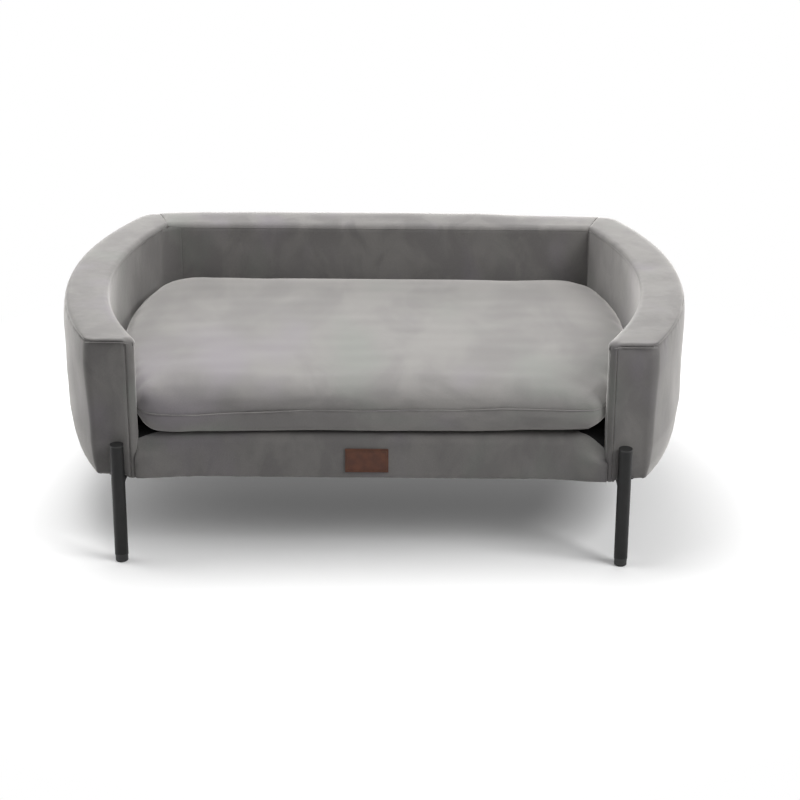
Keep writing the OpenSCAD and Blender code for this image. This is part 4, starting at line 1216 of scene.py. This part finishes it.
patch = {
    "x": -0.006,
    "z": 0.1494,
    "wide": 0.060,
    "high": 0.035,
    "thick": 0.0016,
    "out": 0.0017,  # its middle, out from the apron's face
    "corner": 0.0022,
    "edge": 0.0004,
    "margin": 0.0024,  # from its edge in to the stitches
    "stitches": 46,
}
deselectAll()
bpy.ops.mesh.primitive_cube_add(
    size=1, location=(patch["x"], apron["face"] - patch["out"], patch["z"]),
    scale=(patch["wide"], patch["thick"], patch["high"]),
)
tag = bpy.context.object
bpy.ops.object.transform_apply(location=True, rotation=True, scale=True)
bpy.ops.object.mode_set(mode="EDIT")
mesh = bmesh.from_edit_mesh(tag.data)
for edge in mesh.edges:  # the four edges that run through its thickness
    edge.select = abs(edge.verts[0].co.y - edge.verts[1].co.y) > patch["thick"] / 2
mesh.select_flush_mode()
bmesh.update_edit_mesh(tag.data)
bpy.ops.mesh.bevel(offset=patch["corner"], segments=5, affect="EDGES")
bpy.ops.mesh.select_all(action="DESELECT")
mesh = bmesh.from_edit_mesh(tag.data)
for face in mesh.faces:  # the front face, so that its rim is softened
    face.select = face.normal.y < -0.9
bmesh.update_edit_mesh(tag.data)
bpy.ops.mesh.bevel(offset=patch["edge"], segments=2, affect="EDGES")
bpy.ops.object.mode_set(mode="OBJECT")
finish(tag, "leather_patch_sewn", hide, "tub", ["leather_patch"])
print("patch laid")

# Thread: one arched stitch, copied round the patch, up the right rear seam and across the arms' front
# corners

stitch = {
    "long": 0.0030,
    "radius": 0.00028,
    "rise": 0.0006,
    "rearCount": 12,
    "rearFrom": 0.262,
    "rearTo": 0.3185,
    "cornerX": 0.3290,
    "cornerStep": 0.0036,
    "cornerDrop": 0.0012,
    "proud": 0.0010,  # how far the stitches at the seams stand out
}
loops = []
for turn in np.linspace(pi, 0, 6):
    middle = np.array([cos(turn) * stitch["long"] / 2, 0.0, sin(turn) * stitch["rise"]])
    outward = Vector((cos(turn) * stitch["rise"], 0.0, sin(turn) * stitch["long"] / 2)).normalized()
    loops.append(np.array([
        middle + stitch["radius"] * (cos(angle) * np.array(outward) + sin(angle) * np.array([0.0, 1.0, 0.0]))
        for angle in np.linspace(0, 2 * pi, 6, endpoint=False)
    ]))
master = stackRings(loops)


def sewThread(name, places, up, material):  # a stitch from each place to the next one
    copies = []
    upwards = Vector(up).normalized()
    for start, end in zip(places, places[1:]):
        along = (Vector(end) - Vector(start)).normalized()
        pick(master)
        bpy.ops.object.duplicate()
        axes = Matrix((along, upwards.cross(along), upwards)).transposed().to_4x4()
        bpy.context.object.data.transform(Matrix.Translation((Vector(start) + Vector(end)) / 2) @ axes)
        copies.append(bpy.context.object)
    deselectAll()
    for copy in copies:
        copy.select_set(True)
    bpy.context.view_layer.objects.active = copies[0]
    bpy.ops.object.join()
    finish(bpy.context.object, name, material, "tub", smooth=60)


halfWide, halfHigh = patch["wide"] / 2 - patch["margin"], patch["high"] / 2 - patch["margin"]
signs = [(-1, -1), (1, -1), (1, 1), (-1, 1), (-1, -1)]
border = planPath([(halfWide * x, halfHigh * z) for x, z in signs])
around = follow(border, np.linspace(0, border[1][-1], patch["stitches"] + 1))[0]
face = apron["face"] - patch["out"] - patch["thick"] / 2 - 0.0001
around = [(patch["x"] + a, face, patch["z"] + b) for a, b in around]
sewThread("patch_stitches", around, (0, -1, 0), brownThread)
heights = np.linspace(stitch["rearFrom"], stitch["rearTo"], stitch["rearCount"])
rearSeam = [(seamFrontX - 0.0006, bed["innerRear"] - stitch["proud"], z) for z in heights]
sewThread("rear_seam_stitches", rearSeam, (-1, -1, 0), greyThread)
for side, sign in (("right", 1), ("left", -1)):
    z = bed["top"] - arm[side]["welt"] - stitch["cornerDrop"]
    across = [sign * (stitch["cornerX"] + stitch["cornerStep"] * k) for k in range(4)]
    corner = [(x, bed["front"] - stitch["proud"], z) for x in across]
    sewThread(side + "_corner_stitches", corner, (0, -1, 0.2), greyThread)
bpy.data.objects.remove(master)
print("thread sewn")

# Studio: a pale floor, six soft lamps, and a camera at the photograph's angle

studio = {
    "lamps": {  # power in watts, place, width and height
        "overhead": (43.5, (-0.45, 0.35, 2.2), 1.9, 1.6),
        "rear": (26.0, (-0.2, 2.2, 1.05), 2.4, 0.9),
        "low": (40.0, (0.55, 2.1, 0.36), 2.8, 0.4),
        "left": (9.0, (-2.1, 0.1, 1.5), 1.4, 1.4),
        "right": (37.0, (1.8, -1.1, 1.8), 1.1, 1.1),
        "front": (6.5, (0.5, -2.2, 2.0), 1.2, 0.9),
    },
    "aim": (0.0, 0.0, 0.2),
    "air": 0.12,
    "floorSize": 14,
    "whiteFrom": 0.55,  # distances over which the floor turns from lit paper to plain white
    "whiteTo": 0.95,
    "camera": (0.06364, -3.05503, 1.41095),
    "yaw": 0.0086374,
    "pitch": 0.3982414,
    "roll": 0.0048971,
    "lens": 99.0,
    "film": 36.0,
}
for name, (power, place, wide, high) in studio["lamps"].items():
    lamp = bpy.data.lights.new(name, "AREA")
    lamp.shape = "RECTANGLE"
    lamp.size, lamp.size_y = wide, high
    lamp.energy = power
    stand = bpy.data.objects.new(name, lamp)
    stand.location = place
    stand.rotation_euler = (Vector(studio["aim"]) - Vector(place)).to_track_quat("-Z", "Y").to_euler()
    scene.collection.objects.link(stand)


def seenDirectly(tree):  # 1 for what the camera sees, also in or through a shiny surface
    rays = addNode(tree, "LightPath").outputs
    either = {"operation": "MAXIMUM"}
    seen = addNode(tree, "Math", either, n0=rays["Is Camera Ray"], n1=rays["Is Glossy Ray"])
    return addNode(tree, "Math", either, n0=seen, n1=rays["Is Transmission Ray"])


deselectAll()
bpy.ops.mesh.primitive_plane_add(size=studio["floorSize"])
floor = bpy.context.object
floor.name = floor.data.name = "floor"
paper, tree, place = newMaterial("white studio paper")
distance = addNode(tree, "VectorMath", {"operation": "LENGTH"}, n0=place).outputs["Value"]
far = addNode(
    tree, "MapRange", easing, Value=distance, From_Min=studio["whiteFrom"], From_Max=studio["whiteTo"],
)
white = addNode(tree, "Emission", Color="#FFFFFF", Strength=1.0)
matt = addNode(tree, "BsdfDiffuse", Color="#FFFFFF")
grey = addNode(tree, "BsdfDiffuse", Color="#C8C8C8")
near = addNode(tree, "MixShader", Fac=far, n1=matt, n2=white)
both = addNode(tree, "MixShader", Fac=seenDirectly(tree), n1=grey, n2=near)
addNode(tree, "OutputMaterial", Surface=both)
floor.data.materials.append(paper)

world = bpy.data.worlds.new("studio air")
world.use_nodes = True
scene.world = world
tree = world.node_tree
tree.nodes.clear()
strength = addNode(tree, "MapRange", Value=seenDirectly(tree), To_Min=studio["air"], To_Max=1.0)
addNode(tree, "OutputWorld", Surface=addNode(tree, "Background", Color="#FFFFFF", Strength=strength))

yaw, pitch, roll = studio["yaw"], studio["pitch"], studio["roll"]
ahead = Vector((-sin(yaw) * cos(pitch), cos(yaw) * cos(pitch), -sin(pitch)))
level = Vector((cos(yaw), sin(yaw), 0))
upright = level.cross(ahead)
right = cos(roll) * level + sin(roll) * upright
above = cos(roll) * upright - sin(roll) * level
lens = bpy.data.cameras.new("camera")
lens.lens = studio["lens"]
lens.sensor_width = studio["film"]
lens.clip_start, lens.clip_end = 0.05, 60.0
camera = bpy.data.objects.new("camera", lens)
turned = Matrix((right, above, -ahead)).transposed().to_4x4()
camera.matrix_world = Matrix.Translation(studio["camera"]) @ turned
scene.collection.objects.link(camera)
scene.camera = camera
scene.view_settings.view_transform = "Standard"

bpy.context.view_layer.update()
print("scene ready")
